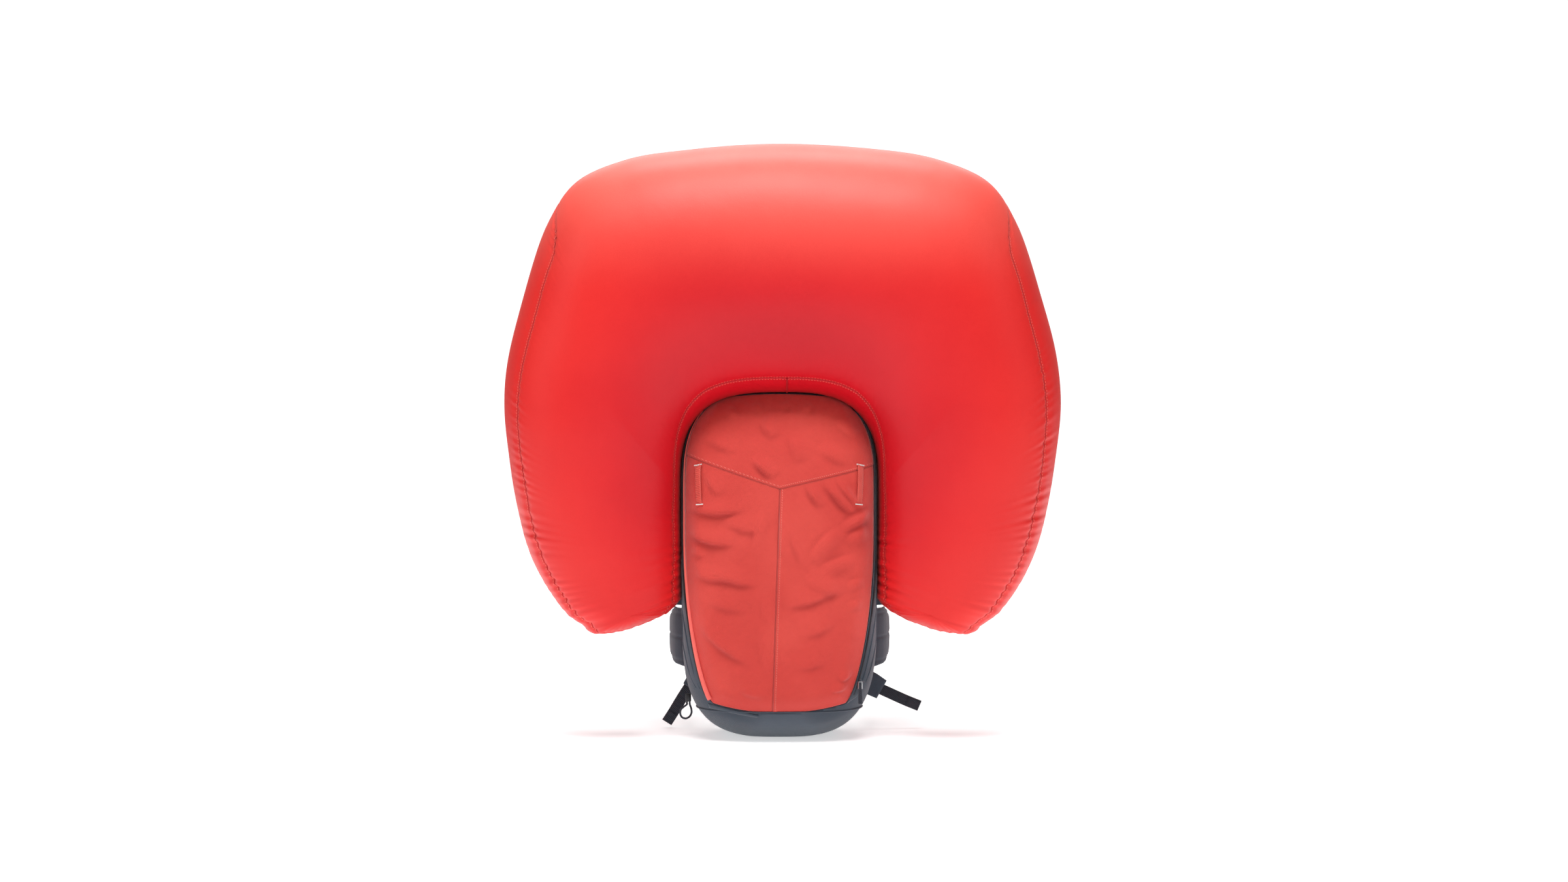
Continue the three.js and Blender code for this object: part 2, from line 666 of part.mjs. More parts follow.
// Half-disc flap beside the hinge bar, lying just above it.
function valveFlap(side) {
  const radius = FLANGE_BORE - FLAP_CLEARANCE;
  const outline = new THREE.Shape();
  const start = Math.asin(FLAP_HINGE_X / radius);
  const steps = 12;
  for (let i = 0; i <= steps; i += 1) {
    const angle = start + (i / steps) * (Math.PI - 2 * start);
    const corner = [side * radius * Math.sin(angle), radius * Math.cos(angle)];
    if (i === 0) {
      outline.moveTo(...corner);
    } else {
      outline.lineTo(...corner);
    }
  }
  return new THREE.ExtrudeGeometry(outline, { depth: FLAP_THICKNESS, bevelEnabled: false })
    .translate(0, FAN_Y, FLANGE_BOTTOM_Z + 4 + GAP);
}

// Duct with three struts that hold the motor's cup.
function fanDuct() {
  const wall = ring(DUCT_RADIUS, DUCT_BORE, DUCT_HEIGHT, 0, FAN_Y, DUCT_BOTTOM_Z);
  const cup = ring(MOTOR_RADIUS + 2.5, MOTOR_RADIUS + GAP, 16, 0, FAN_Y, MOTOR_BOTTOM_Z + 6, 24);
  const struts = [0, 1, 2].map((i) => {
    const inner = MOTOR_RADIUS + 1.5;
    const length = DUCT_BORE + 1 - inner;
    return box(length, 4, 12, inner + length / 2, 0, 0)
      .rotateZ((i * 2 * Math.PI) / 3 + Math.PI / 2)
      .translate(0, FAN_Y, MOTOR_BOTTOM_Z + 14);
  });
  return join(wall, cup, ...struts);
}

function motor() {
  return lathe([
    [0, 0], [MOTOR_RADIUS, 0], [MOTOR_RADIUS, MOTOR_HEIGHT - 4], [MOTOR_RADIUS - 4, MOTOR_HEIGHT],
    [SHAFT_RADIUS, MOTOR_HEIGHT], [SHAFT_RADIUS, MOTOR_HEIGHT + 14], [0, MOTOR_HEIGHT + 14],
  ], 0, FAN_Y, MOTOR_BOTTOM_Z, 24);
}

function impeller() {
  const bore = SHAFT_RADIUS + 0.3;
  const hub = lathe([
    [bore, 0], [HUB_RADIUS, 0], [HUB_RADIUS, IMPELLER_HEIGHT * 0.6], [bore + 5, IMPELLER_HEIGHT],
    [bore, IMPELLER_HEIGHT], [bore, 0],
  ], 0, FAN_Y, IMPELLER_Z, 28);
  const tip = DUCT_BORE - TIP_CLEARANCE;
  const blades = [];
  for (let i = 0; i < BLADES; i += 1) {
    const length = tip - HUB_RADIUS + 2;
    blades.push(box(length, 2, IMPELLER_HEIGHT * 0.8, HUB_RADIUS - 2 + length / 2, 0, 0)
      .rotateX(THREE.MathUtils.degToRad(38))
      .rotateZ((i / BLADES) * 2 * Math.PI)
      .translate(0, FAN_Y, IMPELLER_Z + IMPELLER_HEIGHT * 0.42));
  }
  return join(hub, ...blades);
}

// Disc with parallel slots under the duct, over the air intake.
function intakeGrille() {
  const plate = disc(DUCT_RADIUS, GRILLE_THICKNESS, 0, FAN_Y, DUCT_BOTTOM_Z - GAP - GRILLE_THICKNESS);
  const pitch = GRILLE_SLOT + 3;
  const count = 3;
  const slots = [];
  for (let i = -count; i <= count; i += 1) {
    const length = 2 * Math.sqrt((DUCT_BORE - 4) ** 2 - (i * pitch) ** 2);
    slots.push(box(length, GRILLE_SLOT, 20, 0, FAN_Y + i * pitch, DUCT_BOTTOM_Z));
  }
  return cut(plate, ...slots);
}

// ---------------------------------------------------------------- control unit

function controlBox() {
  const shell = box(BOX_WIDTH, BOX_DEPTH, BOX_HEIGHT, 0, BOX_MIDDLE_Y, BOX_MIDDLE_Z);
  const room = box(BOX_WIDTH - 2 * BOX_WALL, BOX_DEPTH, BOX_HEIGHT - 2 * BOX_WALL,
    0, BOX_MIDDLE_Y - BOX_WALL, BOX_MIDDLE_Z);
  const doorHole = box(DOOR_WIDTH + 2 * GAP, DOOR_DEPTH + 2 * GAP, 4 * BOX_WALL,
    0, BOX_MIDDLE_Y, BOX_BOTTOM_Z);
  return cut(shell, room, doorHole);
}

// Door in the floor of the box, under the cells, hinged at its wearer's side edge.
function batteryDoor() {
  return box(DOOR_WIDTH, DOOR_DEPTH, BOX_WALL, 0, BOX_MIDDLE_Y, BOX_BOTTOM_Z + BOX_WALL / 2);
}

// Lid over the open front of the box, with holes for the knob's shaft and the lens.
function controlLid() {
  const plate = softPlate(BOX_WIDTH, BOX_BOTTOM_Z, BOX_TOP_Z, 5, BOX_WALL, BOX_FRONT_Y - GAP);
  const shaftHole = facing(disc(KNOB_SHAFT + GAP, 20, 0, 0, -10, 20), KNOB_X, BOX_FRONT_Y, KNOB_Z);
  const lensHole = facing(disc(LENS_RADIUS + GAP, 20, 0, 0, -10, 20), -KNOB_X, BOX_FRONT_Y, KNOB_Z);
  return cut(plate, shaftHole, lensHole);
}

// Turns a piece made along Z to point out of the lid, towards -Y.
function facing(geometry, x, y, z) {
  return geometry.rotateX(Math.PI / 2).translate(x, y, z);
}

function powerKnob() {
  const shaft = BOX_WALL + 3;
  const grip = join(
    disc(KNOB_RADIUS, KNOB_HEIGHT, 0, 0, 0, 24),
    box(5, 2 * KNOB_RADIUS - 4, 5, 0, 0, KNOB_HEIGHT + 1),
    disc(KNOB_SHAFT, shaft + 1, 0, 0, -shaft, 20),
  );
  return facing(grip, KNOB_X, LID_FACE_Y - GAP, KNOB_Z);
}

function statusLens() {
  const lens = disc(LENS_RADIUS, BOX_WALL + 2.5, 0, 0, -BOX_WALL - 1, 20);
  return facing(lens, -KNOB_X, LID_FACE_Y, KNOB_Z);
}

function circuitBoard() {
  const y = BOX_FRONT_Y + 8;
  return softPlate(BOX_WIDTH - 2 * BOX_WALL - 4, BOX_TOP_Z - 66, BOX_TOP_Z - BOX_WALL - 3, 3,
    BOARD_THICKNESS, y);
}

function capacitor(side) {
  const x = side * (BOX_WIDTH / 2 - BOX_WALL - CAP_RADIUS - 8);
  const y = BOX_BACK_Y - BOX_WALL - GAP - CAP_RADIUS;
  return disc(CAP_RADIUS, CAP_HEIGHT, x, y, BOX_BOTTOM_Z + BOX_WALL + GAP, 24);
}

function cell(side) {
  return lathe([
    [0, 0], [CELL_RADIUS, 0], [CELL_RADIUS, CELL_LENGTH - 1.5], [2.8, CELL_LENGTH - 1.5],
    [2.8, CELL_LENGTH], [0, CELL_LENGTH],
  ], side * (CELL_RADIUS + 0.6), BOX_MIDDLE_Y, BOX_BOTTOM_Z + BOX_WALL + GAP, 20);
}

// ---------------------------------------------------------------- shoulder harness

const STRAP_TOP_Z = PACK_HEIGHT - 56;
const STRAP_FOOT_Z = 205;
const STRAP_CHEST_Y = 128; // middle of the strap where it lies on the chest
const STRAP_BOW = 1.4; // how far the strap bows out past its stations there
const STRAP_FRONT_Y = STRAP_CHEST_Y + STRAP_THICKNESS / 2 + STRAP_BOW;

// Height at a share of the way from the strap's foot to its top anchor.
function strapZ(share) {
  return THREE.MathUtils.lerp(STRAP_FOOT_Z, STRAP_TOP_Z, share);
}

const CHEST_Y = STRAP_FRONT_Y + GAP + SLIDER_DEPTH / 2;
const CHEST_Z = strapZ(CHEST_SHARE);

// Middle line of a strap: x, y, share of its height, width.
const STRAP_STATIONS = [
  [70, -12, 1, 50], [71, 2, 1.12, 54], [75, 40, 1.19, STRAP_WIDTH], [80, 86, 1.135, STRAP_WIDTH],
  [85, 118, 0.98, STRAP_WIDTH], [88, STRAP_CHEST_Y, 0.83, STRAP_WIDTH],
  [90, STRAP_CHEST_Y, 0.63, STRAP_WIDTH], [92, STRAP_CHEST_Y, 0.42, STRAP_WIDTH],
  [97, 112, 0.2, 54], [104, 92, 0, 46],
];

function shoulderStrap(side) {
  const stations = STRAP_STATIONS.map(([x, y, share, width]) => [side * x, y, strapZ(share), width]);
  return strip(stations, STRAP_THICKNESS, new THREE.Vector3(1, 0, 0), { corners: 2, steps: 22 });
}

// Short webbing from the top of the pack to the crest of the strap.
function loadLifter(side) {
  const stations = [
    [side * 84, SACK_BACK_Y + 3, strapZ(1.07), LIFTER_WIDTH],
    [side * 85, 10, strapZ(1.19), LIFTER_WIDTH],
    [side * 86, 48, strapZ(1.23), LIFTER_WIDTH],
    [side * 88, 84, strapZ(1.19), LIFTER_WIDTH],
  ];
  return strip(stations, WEBBING, new THREE.Vector3(1, 0, 0), { steps: 8 });
}

// Ladder lock at the lower end of the strap: a plate with two slots.
function ladderLock(side) {
  const plate = softBox(LOCK_WIDTH, LOCK_HEIGHT, LOCK_THICKNESS, 0, 0, 0, 3);
  const slots = [-1, 1].map((place) => (
    box(LOWER_WIDTH + 3, LOCK_SLOT, 20, 0, place * (LOCK_SLOT / 2 + 3), 0)));
  return cut(plate, ...slots)
    .rotateX(LOCK_TILT)
    .translate(side * LOCK_PLACE[0], LOCK_PLACE[1], LOCK_PLACE[2]);
}

const LOCK_TILT = THREE.MathUtils.degToRad(74);
const LOCK_PLACE = [105, 86, 180];
const TAB_Z = 84; // height of the padded tabs at the sack's lower corners
const FOOT_X = sackHalfWidth(TAB_Z);

// Webbing from the foot of the pack up to the ladder lock, ending through its upper slot.
function lowerWebbing(side) {
  const stations = [
    [side * (FOOT_X - 21), -10, TAB_Z - 8, LOWER_WIDTH], [side * (FOOT_X - 23), 14, TAB_Z + 8, LOWER_WIDTH],
    [side * 114, 56, 138, LOWER_WIDTH], [side * 107, 80, 164, LOWER_WIDTH],
  ];
  return strip(stations, WEBBING, new THREE.Vector3(1, 0, 0), { steps: 8 });
}

// Padded tab at each lower corner of the sack, and the webbing tail that leaves
// it. Each station is [distance out past the sack's side, y, z from TAB_Z, width].
const CORNER_TABS = {
  left: [[-10, -21, 0, 24], [-4, -21, -9, 24], [2, -21, -18, 22]],
  right: [[-8, -21, -6, 38], [5, -21, -13, 38], [21, -21, -22, 34]],
};
const TAILS = {
  left: [
    [3.2, -21, -20, TAIL_WIDTH], [14, -22, -37, TAIL_WIDTH],
    [26, -23, -57, TAIL_WIDTH], [38, -22, -76, TAIL_WIDTH],
  ],
  right: [
    [22.5, -21, -22.5, TAIL_WIDTH], [39, -21.5, -30, TAIL_WIDTH],
    [59, -22, -39, TAIL_WIDTH], [83, -21, -49, TAIL_WIDTH],
  ],
};
const WIDTH_ACROSS = {
  left: new THREE.Vector3(1, 0, -0.7),
  right: new THREE.Vector3(0.5, 0, 1),
};

function cornerStations(table, name, side) {
  return table[name].map(([out, y, z, width]) => [side * (FOOT_X + out), y, TAB_Z + z, width]);
}

function cornerTab(name, side) {
  return strip(cornerStations(CORNER_TABS, name, side), 4, WIDTH_ACROSS[name], { corners: 2 });
}

function strapTail(name, side) {
  return strip(cornerStations(TAILS, name, side), WEBBING, WIDTH_ACROSS[name], { steps: 10 });
}

// ---------------------------------------------------------------- chest strap

// Slider on the strap's rail, with a slot that the chest webbing runs through.
function chestSlider(side) {
  const block = softBox(SLIDER_WIDTH, SLIDER_DEPTH, SLIDER_HEIGHT, side * SLIDER_X, CHEST_Y, CHEST_Z, 2);
  const slot = box(SLIDER_WIDTH + 4, WEBBING + 2 * GAP, CHEST_WIDTH + 2 * GAP,
    side * SLIDER_X, CHEST_Y, CHEST_Z);
  return cut(block, slot);
}

function chestWebbing(side) {
  const inner = CHEST_BUCKLE_HALF + GAP;
  const outer = SLIDER_X + SLIDER_WIDTH / 2 + 3;
  return box(outer - inner, WEBBING, CHEST_WIDTH, side * (outer + inner) / 2, CHEST_Y, CHEST_Z);
}

// Left half of a buckle: a flat box, open at its right end.
function buckleSocket(half, depth, height, x, y, z) {
  const shell = softBox(2 * half * 0.6, depth, height, x - half * 0.4, y, z, 2);
  const room = box(2 * half, depth - 2 * BUCKLE_WALL, height - 2 * BUCKLE_WALL - 2,
    x + half * 0.2, y, z);
  return cut(shell, room);
}

// Right half of a buckle: a body with a tongue that enters the socket.
function buckleTongue(half, depth, height, x, y, z) {
  const bodyStart = half * 0.2 + GAP;
  const bodyLength = half - bodyStart;
  const body = softBox(bodyLength, depth, height, x + bodyStart + bodyLength / 2, y, z, 2);
  const reach = half * 0.75;
  const tongue = box(reach + 2, depth - 2 * BUCKLE_WALL - 1, height - 2 * BUCKLE_WALL - 3,
    x + bodyStart - reach / 2 + 1, y, z);
  return join(body, tongue);
}

// ---------------------------------------------------------------- hip belt

const FIN_X = LUMBAR_WIDTH / 2 + 6; // root of each fin, beside the lumbar pad

function hipFin(side) {
  const stations = [
    [0, -8.5, FIN_ROOT_HEIGHT], [16, 12, FIN_ROOT_HEIGHT], [25, 46, 100], [26, 90, 84],
    [14, 136, FIN_END_HEIGHT],
  ].map(([out, y, width]) => [side * (FIN_X + out), y, LUMBAR_Z, width]);
  return strip(stations, FIN_THICKNESS, new THREE.Vector3(0, 0, 1), { corners: 2, steps: 12 });
}

function hipWebbing(side) {
  const stations = [
    [13, 138.5, 0], [4, 154, -2], [-10, 168, -6], [-28, 177, -10],
  ].map(([out, y, z]) => [side * (FIN_X + out), y, LUMBAR_Z + z, HIP_WEBBING_WIDTH]);
  return strip(stations, WEBBING, new THREE.Vector3(0, 0, 1), { steps: 8 });
}

const HIP_BUCKLE_HALF = 22;
const HIP_BUCKLE_DEPTH = 12;
const HIP_BUCKLE_X = FIN_X - 57;
const HIP_BUCKLE_Y = 181;
const HIP_BUCKLE_Z = LUMBAR_Z - 12;

function hipBuckleSocket() {
  return buckleSocket(HIP_BUCKLE_HALF, HIP_BUCKLE_DEPTH, HIP_BUCKLE_HEIGHT,
    -HIP_BUCKLE_X, HIP_BUCKLE_Y, HIP_BUCKLE_Z);
}

function hipBuckleTongue() {
  return buckleTongue(HIP_BUCKLE_HALF, HIP_BUCKLE_DEPTH, HIP_BUCKLE_HEIGHT,
    HIP_BUCKLE_X, HIP_BUCKLE_Y, HIP_BUCKLE_Z);
}

// ---------------------------------------------------------------- trigger

const TRIGGER_X = -91;
const TRIGGER_Y = STRAP_FRONT_Y + GAP + HANDLE_DEPTH / 2;
const HOUSING_TOP_Z = CHEST_Z - 62;
const HOUSING_FOOT_Z = HOUSING_TOP_Z - HOUSING_LENGTH;

// Block on the strap's face with a bore for the handle's stem.
function triggerHousing() {
  const z = (HOUSING_TOP_Z + HOUSING_FOOT_Z) / 2;
  const block = softBox(HANDLE_WIDTH, HANDLE_DEPTH, HOUSING_LENGTH, TRIGGER_X, TRIGGER_Y, z, 4);
  const bore = disc(STEM_RADIUS + GAP, HOUSING_LENGTH - 6, TRIGGER_X, TRIGGER_Y, HOUSING_FOOT_Z - 1, 20);
  return cut(block, bore);
}

function triggerHandle() {
  const top = HOUSING_FOOT_Z - GAP;
  const grip = softBox(HANDLE_WIDTH + 4, HANDLE_DEPTH - 1, HANDLE_LENGTH, TRIGGER_X, TRIGGER_Y,
    top - HANDLE_LENGTH / 2, 5);
  const stem = disc(STEM_RADIUS, HOUSING_LENGTH - 10, TRIGGER_X, TRIGGER_Y, top - 2, 20);
  return join(grip, stem);
}

// Cable from the housing past the chest slider, over the shoulder, through the
// sack's back wall and down to the control box.
const CABLE_ENTRY_X = -60;
const CABLE_ENTRY_Z = PACK_HEIGHT - 36;
const CABLE_X = TRIGGER_X - 20; // beside the chest slider
const CABLE_Y = STRAP_FRONT_Y + CABLE_RADIUS + 3;
const CABLE_ROUTE = [
  [TRIGGER_X, CABLE_Y, HOUSING_TOP_Z + 1], [TRIGGER_X - 3, CABLE_Y, HOUSING_TOP_Z + 7],
  [TRIGGER_X - 13, CABLE_Y, CHEST_Z - 48], [CABLE_X, CABLE_Y, CHEST_Z - 37],
  [CABLE_X, CABLE_Y, CHEST_Z - 12], [CABLE_X, CABLE_Y, CHEST_Z + 13],
  [CABLE_X, CABLE_Y - 1, CHEST_Z + 43], [-105, 133, strapZ(0.973)], [-88, 115.5, strapZ(1.088)],
  [-70, 94, strapZ(1.176)], [-66, 60, strapZ(1.227)], [-63, 26, strapZ(1.234)],
  [CABLE_ENTRY_X, -2, strapZ(1.18)], [CABLE_ENTRY_X, SACK_BACK_Y + 11, CABLE_ENTRY_Z + 10],
  [CABLE_ENTRY_X, SACK_BACK_Y + 4, CABLE_ENTRY_Z + 2],
  [CABLE_ENTRY_X, SACK_BACK_Y - 6, CABLE_ENTRY_Z - 1],
  [CABLE_ENTRY_X, SACK_BACK_Y - 15, CABLE_ENTRY_Z - 9],
  [CABLE_ENTRY_X, SACK_BACK_Y - 19, CABLE_ENTRY_Z - 30],
  [CABLE_ENTRY_X + 2, SACK_BACK_Y - 20, BOX_TOP_Z + 36],
  [CABLE_ENTRY_X + 2, SACK_BACK_Y - 20, BOX_TOP_Z + 1],
];

function triggerCable() {
  return tube(CABLE_ROUTE, CABLE_RADIUS, 8, 44);
}

// ---------------------------------------------------------------- zip slider and tool loop

// The zip runs just outside the panel; its slider is parked near the right foot.
const ZIP_Z = 92;
const ZIP_OFFSET = 8; // from the panel's edge to the middle of the zip
const ZIP_X = panelHalfWidth(ZIP_Z) + ZIP_OFFSET;
const SLIDER_FACE_Y = sackFrontY(ZIP_X - 4, ZIP_Z + 6) - GAP - 1.2;

function zipSlider() {
  return softBox(8, 5, 12, ZIP_X, SLIDER_FACE_Y - 2.5, ZIP_Z, 1.5);
}

function zipPull() {
  const bail = 1.6; // the pull swings on a wire bail that holds it this far off the slider
  return softBox(7, 2, 34, ZIP_X, SLIDER_FACE_Y - 5 - bail - 1, ZIP_Z - 12, 0.8);
}

const CORD_LOCK = { width: 9, depth: 14, height: 12, z: 62 };
const LOCK_X = -(sackHalfWidth(CORD_LOCK.z + CORD_LOCK.height / 2) + CORD_LOCK.width / 2 + 1);
const LOCK_Y = -109;

function toolLoopLock() {
  const { width, depth, height, z } = CORD_LOCK;
  return softBox(width, depth, height, LOCK_X, LOCK_Y, z, 2);
}

// Thin cord out of the lock, round and back into it.
function toolLoop() {
  const foot = CORD_LOCK.z - CORD_LOCK.height / 2 - GAP;
  const route = [
    [2.2, 4, 0], [2.2, 4, -5], [4.5, 4, -12], [5, 3.5, -19], [2, 3, -25], [-4, 2, -28],
    [-10, 0, -26], [-13, -1.5, -20], [-12, -3, -13], [-7, -4, -8], [-2.2, -4, -4], [-2.2, -4, 0],
  ].map(([x, y, z]) => [LOCK_X + x, LOCK_Y + y, foot + z]);
  return tube(route, CORD_RADIUS, 8, 30);
}

// ---------------------------------------------------------------- assembly

const SIDES = [['left', -1], ['right', 1]];

add('sack_shell', sackShell(), SLATE_FABRIC);
add('front_panel', frontPanel(), CORAL_FABRIC);
add('frame_sheet', frameSheet(), BLACK_PLASTIC);
add('back_stay', backStay(), ALUMINIUM);
add('lumbar_pad', lumbarPad(), BLACK_MESH);
add('haul_loop', haulLoop(), NAVY_WEBBING);
add('zip_slider', zipSlider(), STEEL);
add('zip_pull', zipPull(), NAVY_WEBBING);
add('tool_loop_lock', toolLoopLock(), BLACK_PLASTIC);
add('tool_loop', toolLoop(), NAVY_WEBBING);

add('airbag_skin', airbagSkin(), RED_NYLON);
add('inlet_flange', inletFlange(), BLACK_PLASTIC);
add('clamp_band', clampBand(), STEEL);
add('fan_duct', fanDuct(), GREY_PLASTIC);
add('motor', motor(), ALUMINIUM);
add('impeller', impeller(), BLACK_PLASTIC);
add('intake_grille', intakeGrille(), BLACK_PLASTIC);

add('control_box', controlBox(), GREY_PLASTIC);
add('control_lid', controlLid(), GREY_PLASTIC);
add('battery_door', batteryDoor(), BLACK_PLASTIC);
add('circuit_board', circuitBoard(), GREEN_BOARD);
add('power_knob', powerKnob(), RED_PLASTIC);
add('status_lens', statusLens(), CLEAR_LENS);

add('trigger_housing', triggerHousing(), BLACK_PLASTIC);
add('trigger_handle', triggerHandle(), RED_PLASTIC);
add('trigger_cable', triggerCable(), BLACK_PLASTIC);

add('chest_buckle_socket',
  buckleSocket(CHEST_BUCKLE_HALF, BUCKLE_DEPTH, CHEST_BUCKLE_HEIGHT, 0, CHEST_Y, CHEST_Z),
  BLACK_PLASTIC);
add('chest_buckle_tongue',
  buckleTongue(CHEST_BUCKLE_HALF, BUCKLE_DEPTH, CHEST_BUCKLE_HEIGHT, 0, CHEST_Y, CHEST_Z),
  BLACK_PLASTIC);
add('hip_buckle_socket', hipBuckleSocket(), BLACK_PLASTIC);
add('hip_buckle_tongue', hipBuckleTongue(), BLACK_PLASTIC);

for (const [name, side] of SIDES) {
  add(`gear_loop_${name}`, gearLoop(side), CORAL_FABRIC);
  add(`back_pad_${name}`, backPad(side), BLACK_MESH);
  add(`valve_flap_${name}`, valveFlap(side), BLACK_PLASTIC);
  add(`capacitor_${name}`, capacitor(side), ALUMINIUM);
  add(`cell_${name}`, cell(side), BATTERY_SLEEVE);
  add(`shoulder_strap_${name}`, shoulderStrap(side), SLATE_FABRIC);
  add(`load_lifter_${name}`, loadLifter(side), NAVY_WEBBING);
  add(`ladder_lock_${name}`, ladderLock(side), BLACK_PLASTIC);
  add(`lower_webbing_${name}`, lowerWebbing(side), NAVY_WEBBING);
  add(`corner_tab_${name}`, cornerTab(name, side), SLATE_FABRIC);
  add(`strap_tail_${name}`, strapTail(name, side), NAVY_WEBBING);
  add(`chest_slider_${name}`, chestSlider(side), BLACK_PLASTIC);
  add(`chest_webbing_${name}`, chestWebbing(side), NAVY_WEBBING);
  add(`hip_fin_${name}`, hipFin(side), SLATE_FABRIC);
  add(`hip_webbing_${name}`, hipWebbing(side), NAVY_WEBBING);
}

export default group;
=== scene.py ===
# %% [markdown]
# # Avalanche airbag backpack
#
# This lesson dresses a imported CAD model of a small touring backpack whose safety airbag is
# blown up. The CAD gives every place and every joint. Here each piece gets its cloth, foam,
# webbing or moulded finish. All lengths are in metres, +Z is up, +Y is the wearer's side.

# %% Load the frame
import json
import math

import bmesh
import bpy
import numpy as np
from mathutils import Matrix, Vector

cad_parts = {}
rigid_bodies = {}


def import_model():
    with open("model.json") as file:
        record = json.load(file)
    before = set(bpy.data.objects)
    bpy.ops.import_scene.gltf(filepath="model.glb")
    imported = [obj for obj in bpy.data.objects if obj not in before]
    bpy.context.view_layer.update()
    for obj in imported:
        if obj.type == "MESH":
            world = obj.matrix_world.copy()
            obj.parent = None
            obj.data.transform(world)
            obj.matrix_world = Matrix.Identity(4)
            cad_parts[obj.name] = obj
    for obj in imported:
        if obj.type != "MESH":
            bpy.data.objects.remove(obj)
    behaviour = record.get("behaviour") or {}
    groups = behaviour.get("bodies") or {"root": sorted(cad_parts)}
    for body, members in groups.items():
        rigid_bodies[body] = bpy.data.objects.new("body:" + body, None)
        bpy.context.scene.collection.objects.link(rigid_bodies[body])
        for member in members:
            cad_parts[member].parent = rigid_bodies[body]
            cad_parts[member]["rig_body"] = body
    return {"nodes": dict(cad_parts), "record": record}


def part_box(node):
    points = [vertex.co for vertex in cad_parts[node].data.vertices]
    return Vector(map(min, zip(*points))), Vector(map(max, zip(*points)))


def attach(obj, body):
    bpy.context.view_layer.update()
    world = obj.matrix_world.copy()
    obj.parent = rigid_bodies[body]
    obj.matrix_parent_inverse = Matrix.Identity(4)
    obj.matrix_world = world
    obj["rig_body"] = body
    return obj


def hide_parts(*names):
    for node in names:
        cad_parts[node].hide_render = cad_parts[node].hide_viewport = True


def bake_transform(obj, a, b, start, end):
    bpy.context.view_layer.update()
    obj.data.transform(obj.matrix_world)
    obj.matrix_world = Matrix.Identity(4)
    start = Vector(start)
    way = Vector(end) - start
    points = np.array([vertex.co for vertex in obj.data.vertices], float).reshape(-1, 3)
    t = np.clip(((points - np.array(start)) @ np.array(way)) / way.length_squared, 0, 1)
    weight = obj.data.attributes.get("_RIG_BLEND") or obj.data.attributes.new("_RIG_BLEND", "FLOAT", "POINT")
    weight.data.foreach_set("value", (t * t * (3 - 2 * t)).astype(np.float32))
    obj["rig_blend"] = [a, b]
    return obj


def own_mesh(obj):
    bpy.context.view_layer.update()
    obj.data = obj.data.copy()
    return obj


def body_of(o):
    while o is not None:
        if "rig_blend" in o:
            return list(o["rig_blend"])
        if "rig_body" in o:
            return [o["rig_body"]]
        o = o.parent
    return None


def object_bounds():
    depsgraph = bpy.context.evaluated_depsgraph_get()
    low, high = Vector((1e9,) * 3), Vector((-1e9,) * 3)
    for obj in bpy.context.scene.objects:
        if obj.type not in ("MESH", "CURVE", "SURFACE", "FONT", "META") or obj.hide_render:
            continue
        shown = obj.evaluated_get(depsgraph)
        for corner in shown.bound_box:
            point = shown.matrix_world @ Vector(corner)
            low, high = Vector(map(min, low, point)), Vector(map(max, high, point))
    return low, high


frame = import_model()
cad_bounds = [list(corner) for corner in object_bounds()]
MM = 0.001
SIDES = {"left": -1, "right": 1}
print("CAD box", [[round(value, 3) for value in corner] for corner in cad_bounds])

# %% [markdown]
# ## Camera
#
# A product like this is shown nearly head-on with a long lens, a few degrees from above, so
# that upright lines stay upright. The lens follows from the width that has to fit at the
# distance, by similar triangles on the sensor.

# %% Camera
SENSOR = 36.0
VIEW_WIDTH = 2.521
CAMERA_DISTANCE = 5.2
LOOK_DOWN = math.radians(4.0)
AIM = Vector((0.0075, -0.105, 0.331))

camera_data = bpy.data.cameras.new("camera")
camera_data.sensor_width = SENSOR
camera_data.lens = SENSOR * CAMERA_DISTANCE / VIEW_WIDTH
camera = bpy.data.objects.new("camera", camera_data)
bpy.context.scene.collection.objects.link(camera)
toward = Vector((0, -math.cos(LOOK_DOWN), math.sin(LOOK_DOWN)))
camera.location = AIM + toward * CAMERA_DISTANCE
camera.rotation_euler = (-toward).to_track_quat("-Z", "Y").to_euler()
bpy.context.scene.camera = camera
print("lens", round(camera_data.lens, 1), "mm")

# %% [markdown]
# ## Shader maths as sentences
#
# Procedural finishes are sums of noise, waves and masks. Wiring Math nodes one by one hides
# the idea, so one small class wraps a socket: adding or multiplying two of them places the
# node. Every other node comes from a single method of the finish it belongs to.

# %% Wires and finishes
class Wire:
    """A value in a shader. Sums of wires add their Math nodes."""

    def __init__(self, finish, socket):
        self.finish = finish
        self.socket = socket

    def maths(self, kind, *values):
        return self.finish.node("ShaderNodeMath", {"operation": kind}, dict(enumerate(values)))

    def __add__(self, other):
        return self.maths("ADD", self, other)

    def __sub__(self, other):
        return self.maths("SUBTRACT", self, other)

    def __rsub__(self, other):
        return self.maths("SUBTRACT", other, self)

    def __mul__(self, other):
        return self.maths("MULTIPLY", self, other)

    def __pow__(self, other):
        return self.maths("POWER", self, other)

    def sine(self):
        return self.maths("SINE", self)

    def cosine(self):
        return self.maths("COSINE", self)

    def size(self):
        """The value without its sign."""
        return self.maths("ABSOLUTE", self)

    __radd__ = __add__
    __rmul__ = __mul__


